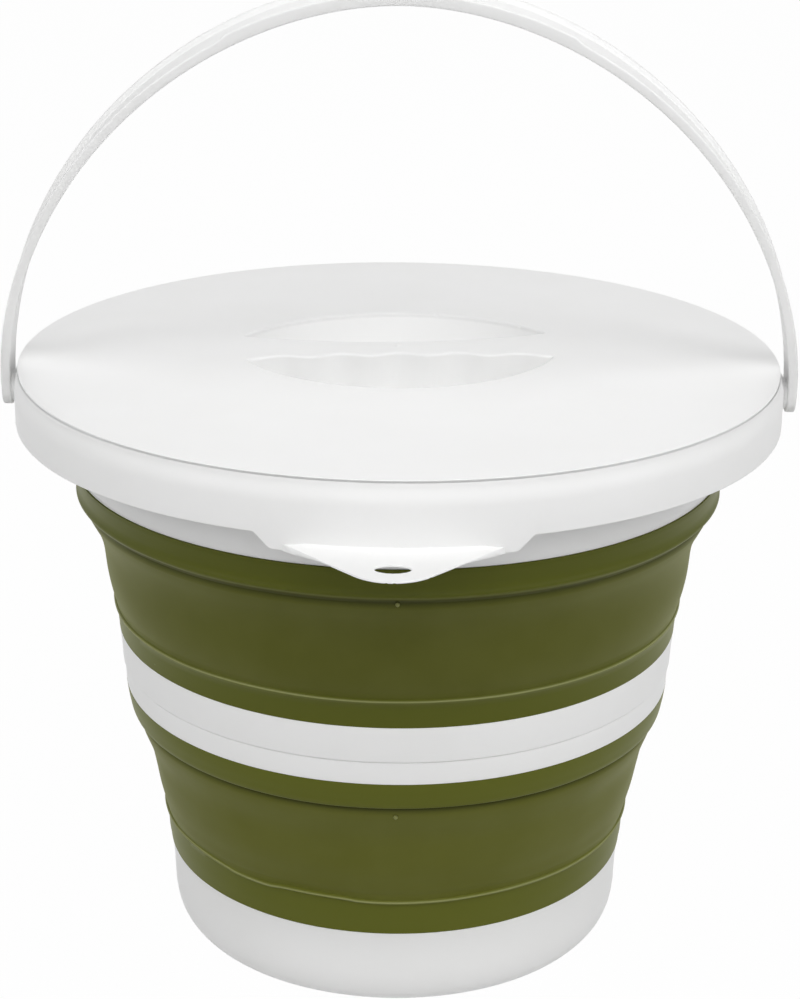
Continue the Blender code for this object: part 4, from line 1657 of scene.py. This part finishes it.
@dataclass
class Studio:
    """Camera, pale floor, even white surroundings and soft boxes. Places are in metres."""

    focal_px: float = 2300.0
    image: tuple[int, int] = (800, 999)
    sensor_mm: float = 36.0
    distance: float = 0.9747
    elevation: float = math.radians(19.963)
    azimuth: float = math.radians(0.5)
    roll: float = math.radians(0.492)
    look_at: Triple = (0.0, 0.0, 0.1865)
    centre_px: Flat = (397.82, 499.5)
    white: str = "#FFFFFF"
    ambient: float = 0.02
    lamps: tuple[Lamp, ...] = (
        Lamp("front_soft_box", (0.1, -1.55, 1.75), 2.0, 23.1),
        Lamp("low_front_soft_box", (0.0, -2.0, 0.9), 1.6, 6.2),
        Lamp("left_soft_box", (-1.5, -0.6, 1.35), 1.7, 16.0),
        Lamp("right_soft_box", (1.5, -0.6, 1.35), 1.7, 19.0),
        Lamp("back_soft_box", (0.0, 1.4, 1.5), 1.8, 7.0),
    )
    lamps_target: Triple = (0.0, 0.0, 0.17)
    floor_colour: str = "#CACACA"
    floor_roughness: float = 0.9
    floor_glow: float = 0.985
    floor_half: float = 6.0
    floor_height: float = -0.0002

    def camera(self) -> None:
        """Set the camera to the photograph's view."""
        data = bpy.data.cameras.new("view")
        longer = max(self.image)
        data.sensor_width = self.sensor_mm
        data.lens = self.focal_px * self.sensor_mm / longer
        data.shift_x = (self.image[0] / 2 - self.centre_px[0]) / longer
        data.shift_y = (self.centre_px[1] - self.image[1] / 2) / longer
        data.dof.use_dof = False
        view = link_object("view", data)
        flat = self.distance * math.cos(self.elevation)
        away = Vector((
            flat * math.sin(self.azimuth),
            -flat * math.cos(self.azimuth),
            self.distance * math.sin(self.elevation),
        ))
        roll = Matrix.Rotation(self.roll, 4, "Z")
        view.matrix_world = aimed(Vector(self.look_at) + away, -away) @ roll
        bpy.context.scene.camera = view

    def light(self) -> None:
        """Add the soft boxes and the white surroundings."""
        for lamp in self.lamps:
            data = bpy.data.lights.new(lamp.name, "AREA")
            data.shape = "SQUARE"
            data.size = lamp.size
            data.energy = lamp.watts
            way = Vector(self.lamps_target) - Vector(lamp.place)
            link_object(lamp.name, data).matrix_world = aimed(lamp.place, way)
        world = bpy.data.worlds.new("white_studio")
        bpy.context.scene.world = world
        world.use_nodes = True
        tree = world.node_tree
        strength = add_node(tree, RANGE, {
            "Value": self.seen_directly(tree), "To Min": self.ambient, "To Max": 1.0,
        })
        wire(tree.nodes["Background"], {"Color": srgb(self.white), "Strength": strength[0]})

    def seen_directly(self, tree: NodeTree) -> NodeSocket:
        """Add nodes that tell whether a ray shows the background to the eye.

        Args:
            tree: Tree that gets the nodes.

        Returns:
            A socket that is above 0 for camera, glossy and transmission rays.
        """
        path = add_node(tree, "ShaderNodeLightPath")
        shiny = add_node(tree, MATH, {
            "operation": "ADD", 0: path["Is Glossy Ray"], 1: path["Is Transmission Ray"],
        })
        return add_node(tree, MATH, {
            "operation": "ADD", "use_clamp": True, 0: path["Is Camera Ray"], 1: shiny[0],
        })[0]

    def floor(self) -> None:
        """Add a wide pale floor that looks white to the camera and keeps a faint shadow."""
        material = bpy.data.materials.new("pale_studio_floor")
        material.use_nodes = True
        tree = material.node_tree
        matt = wire(tree.nodes["Principled BSDF"], {
            "Base Color": srgb(self.floor_colour), "Roughness": self.floor_roughness,
        })
        glow = add_node(tree, "ShaderNodeEmission", {"Strength": 1.0})
        seen = add_node(tree, MATH, {
            "operation": "MULTIPLY", 0: self.seen_directly(tree), 1: self.floor_glow,
        })
        both = add_node(tree, "ShaderNodeMixShader", {0: seen[0], 1: matt[0], 2: glow[0]})
        wire(tree.nodes["Material Output"], {"Surface": both[0]})
        bm = bmesh.new()
        bmesh.ops.create_grid(bm, x_segments=1, y_segments=1, size=self.floor_half)
        item = add_object("floor", bm, material)
        item.location.z = self.floor_height

    def build(self) -> None:
        """Set up the camera, the lights and the floor."""
        self.camera()
        self.light()
        self.floor()
        bpy.context.scene.view_settings.view_transform = "Standard"
        LOG.info("studio: %d lamps", len(self.lamps))


# The lower ledge was pushed out of true on its left. Turns are in degrees.
LEDGE_WAVE = (
    (-100.0, 0.0), (-68.0, 0.2), (-57.0, 0.6), (-48.0, 0.3), (-42.0, -0.3), (-35.0, -0.9),
    (-29.0, -0.7), (-19.0, 0.4), (-10.0, 0.0), (0.0, -0.7), (12.0, -0.4), (30.0, 0.0),
)

LOWER_WALL = FoldingWall(
    name="lower_panel",
    node="lower_wall",
    lower_body=Body.BASE,
    upper_body=Body.MIDDLE,
    bottom=35.0,
    top=111.1,
    foot=((99.25, 36.0), (99.9, 40.0), (100.15, 44.0), (100.45, 48.0), (100.7, 50.2)),
    ledge=(
        (101.3, 50.3, 1.0), (101.6, 50.8, 1.2), (101.65, 51.15, 1.9), (101.4, 51.5, 1.4),
        (100.85, 51.95, 0.4),
    ),
    panel=(
        (101.2, 54.0), (101.9, 56.0), (102.9, 60.0), (104.0, 64.0), (104.9, 68.0), (105.6, 72.0),
        (106.3, 76.0), (107.0, 80.0), (108.0, 84.0), (109.4, 88.0), (110.9, 92.0), (111.8, 95.0),
    ),
    crease=(
        (111.9, 96.6, -0.2), (111.5, 97.5, -0.65), (111.5, 98.3, -0.95), (112.6, 98.9, -0.75),
        (113.7, 99.3, 0.5),
    ),
    shoulder=(
        (114.5, 99.9), (115.0, 101.3), (115.4, 103.4), (115.9, 106.0), (116.25, 108.5),
        (116.5, 110.7),
    ),
    folds=(52.2, 98.8),
    tongues=(97.8, 113.85),
    ledge_drift=1.5,
    give=2.2,
    seed=3.0,
    gate_height=94.7,
    gate_radius=112.1,
)

UPPER_WALL = FoldingWall(
    name="upper_panel",
    node="upper_wall",
    lower_body=Body.MIDDLE,
    upper_body=Body.RIM,
    bottom=136.3,
    top=207.9,
    foot=((118.75, 137.3), (119.0, 140.0), (119.35, 144.0), (119.75, 146.4)),
    ledge=(
        (120.4, 147.2, 1.0), (120.7, 147.7, 1.2), (120.75, 148.1, 1.9), (120.5, 148.45, 1.4),
        (119.95, 148.9, 0.4),
    ),
    panel=(
        (120.35, 151.0), (121.0, 153.0), (121.8, 156.0), (122.6, 160.0), (123.2, 164.0),
        (123.65, 168.0), (124.1, 172.0), (124.8, 176.0), (125.9, 180.0), (127.5, 184.0),
        (129.6, 188.0), (131.1, 191.0),
    ),
    crease=(
        (131.25, 192.6, -0.45), (131.2, 193.5, -0.85), (131.9, 194.6, -0.9), (133.3, 195.8, -0.4),
        (134.2, 196.4, 0.4),
    ),
    shoulder=(
        (134.65, 197.0), (134.7, 197.8), (134.2, 199.0), (133.95, 200.6), (134.1, 202.6),
        (134.35, 204.6), (134.6, 206.2), (134.7, 207.5),
    ),
    folds=(149.4, 195.6),
    tongues=(117.3, 133.15),
    ledge_drift=0.8,
    give=1.2,
    seed=8.0,
    gate_height=193.2,
    gate_radius=132.2,
)


def main() -> None:
    """Build the bucket's pieces from the ground up, then the studio."""
    logging.basicConfig(level=logging.INFO, format="%(message)s")
    white = MouldedPolypropylene().make()
    # The upper wall's olive is painted darker, as painted shade under the rim's overhang, and the
    # lower wall's olive lighter, as painted light.
    lit_lower_olive = MouldedRubber(
        "lower_olive_rubber_painted_light", "#5A5C21", "#595D1C", "#63652F",
    ).make()
    shaded_upper_olive = MouldedRubber(
        "upper_olive_rubber_painted_shade", "#50521B", "#515518", "#5A5C29", bloom=0.3,
    ).make()
    turner = TurnTree("turn_profile")
    marks = MarkTree("gate_marks")
    BaseCup().build(turner, white)
    LOWER_WALL.build(TurnTree("turn_wavy_profile", LEDGE_WAVE), marks, lit_lower_olive)
    MiddleRing().build(turner, white)
    UPPER_WALL.build(turner, marks, shaded_upper_olive)
    RimFrame().build(white)
    Lid().build(white)
    BailHandle().build(white)
    Studio().build()


if __name__ == "__main__":
    main()
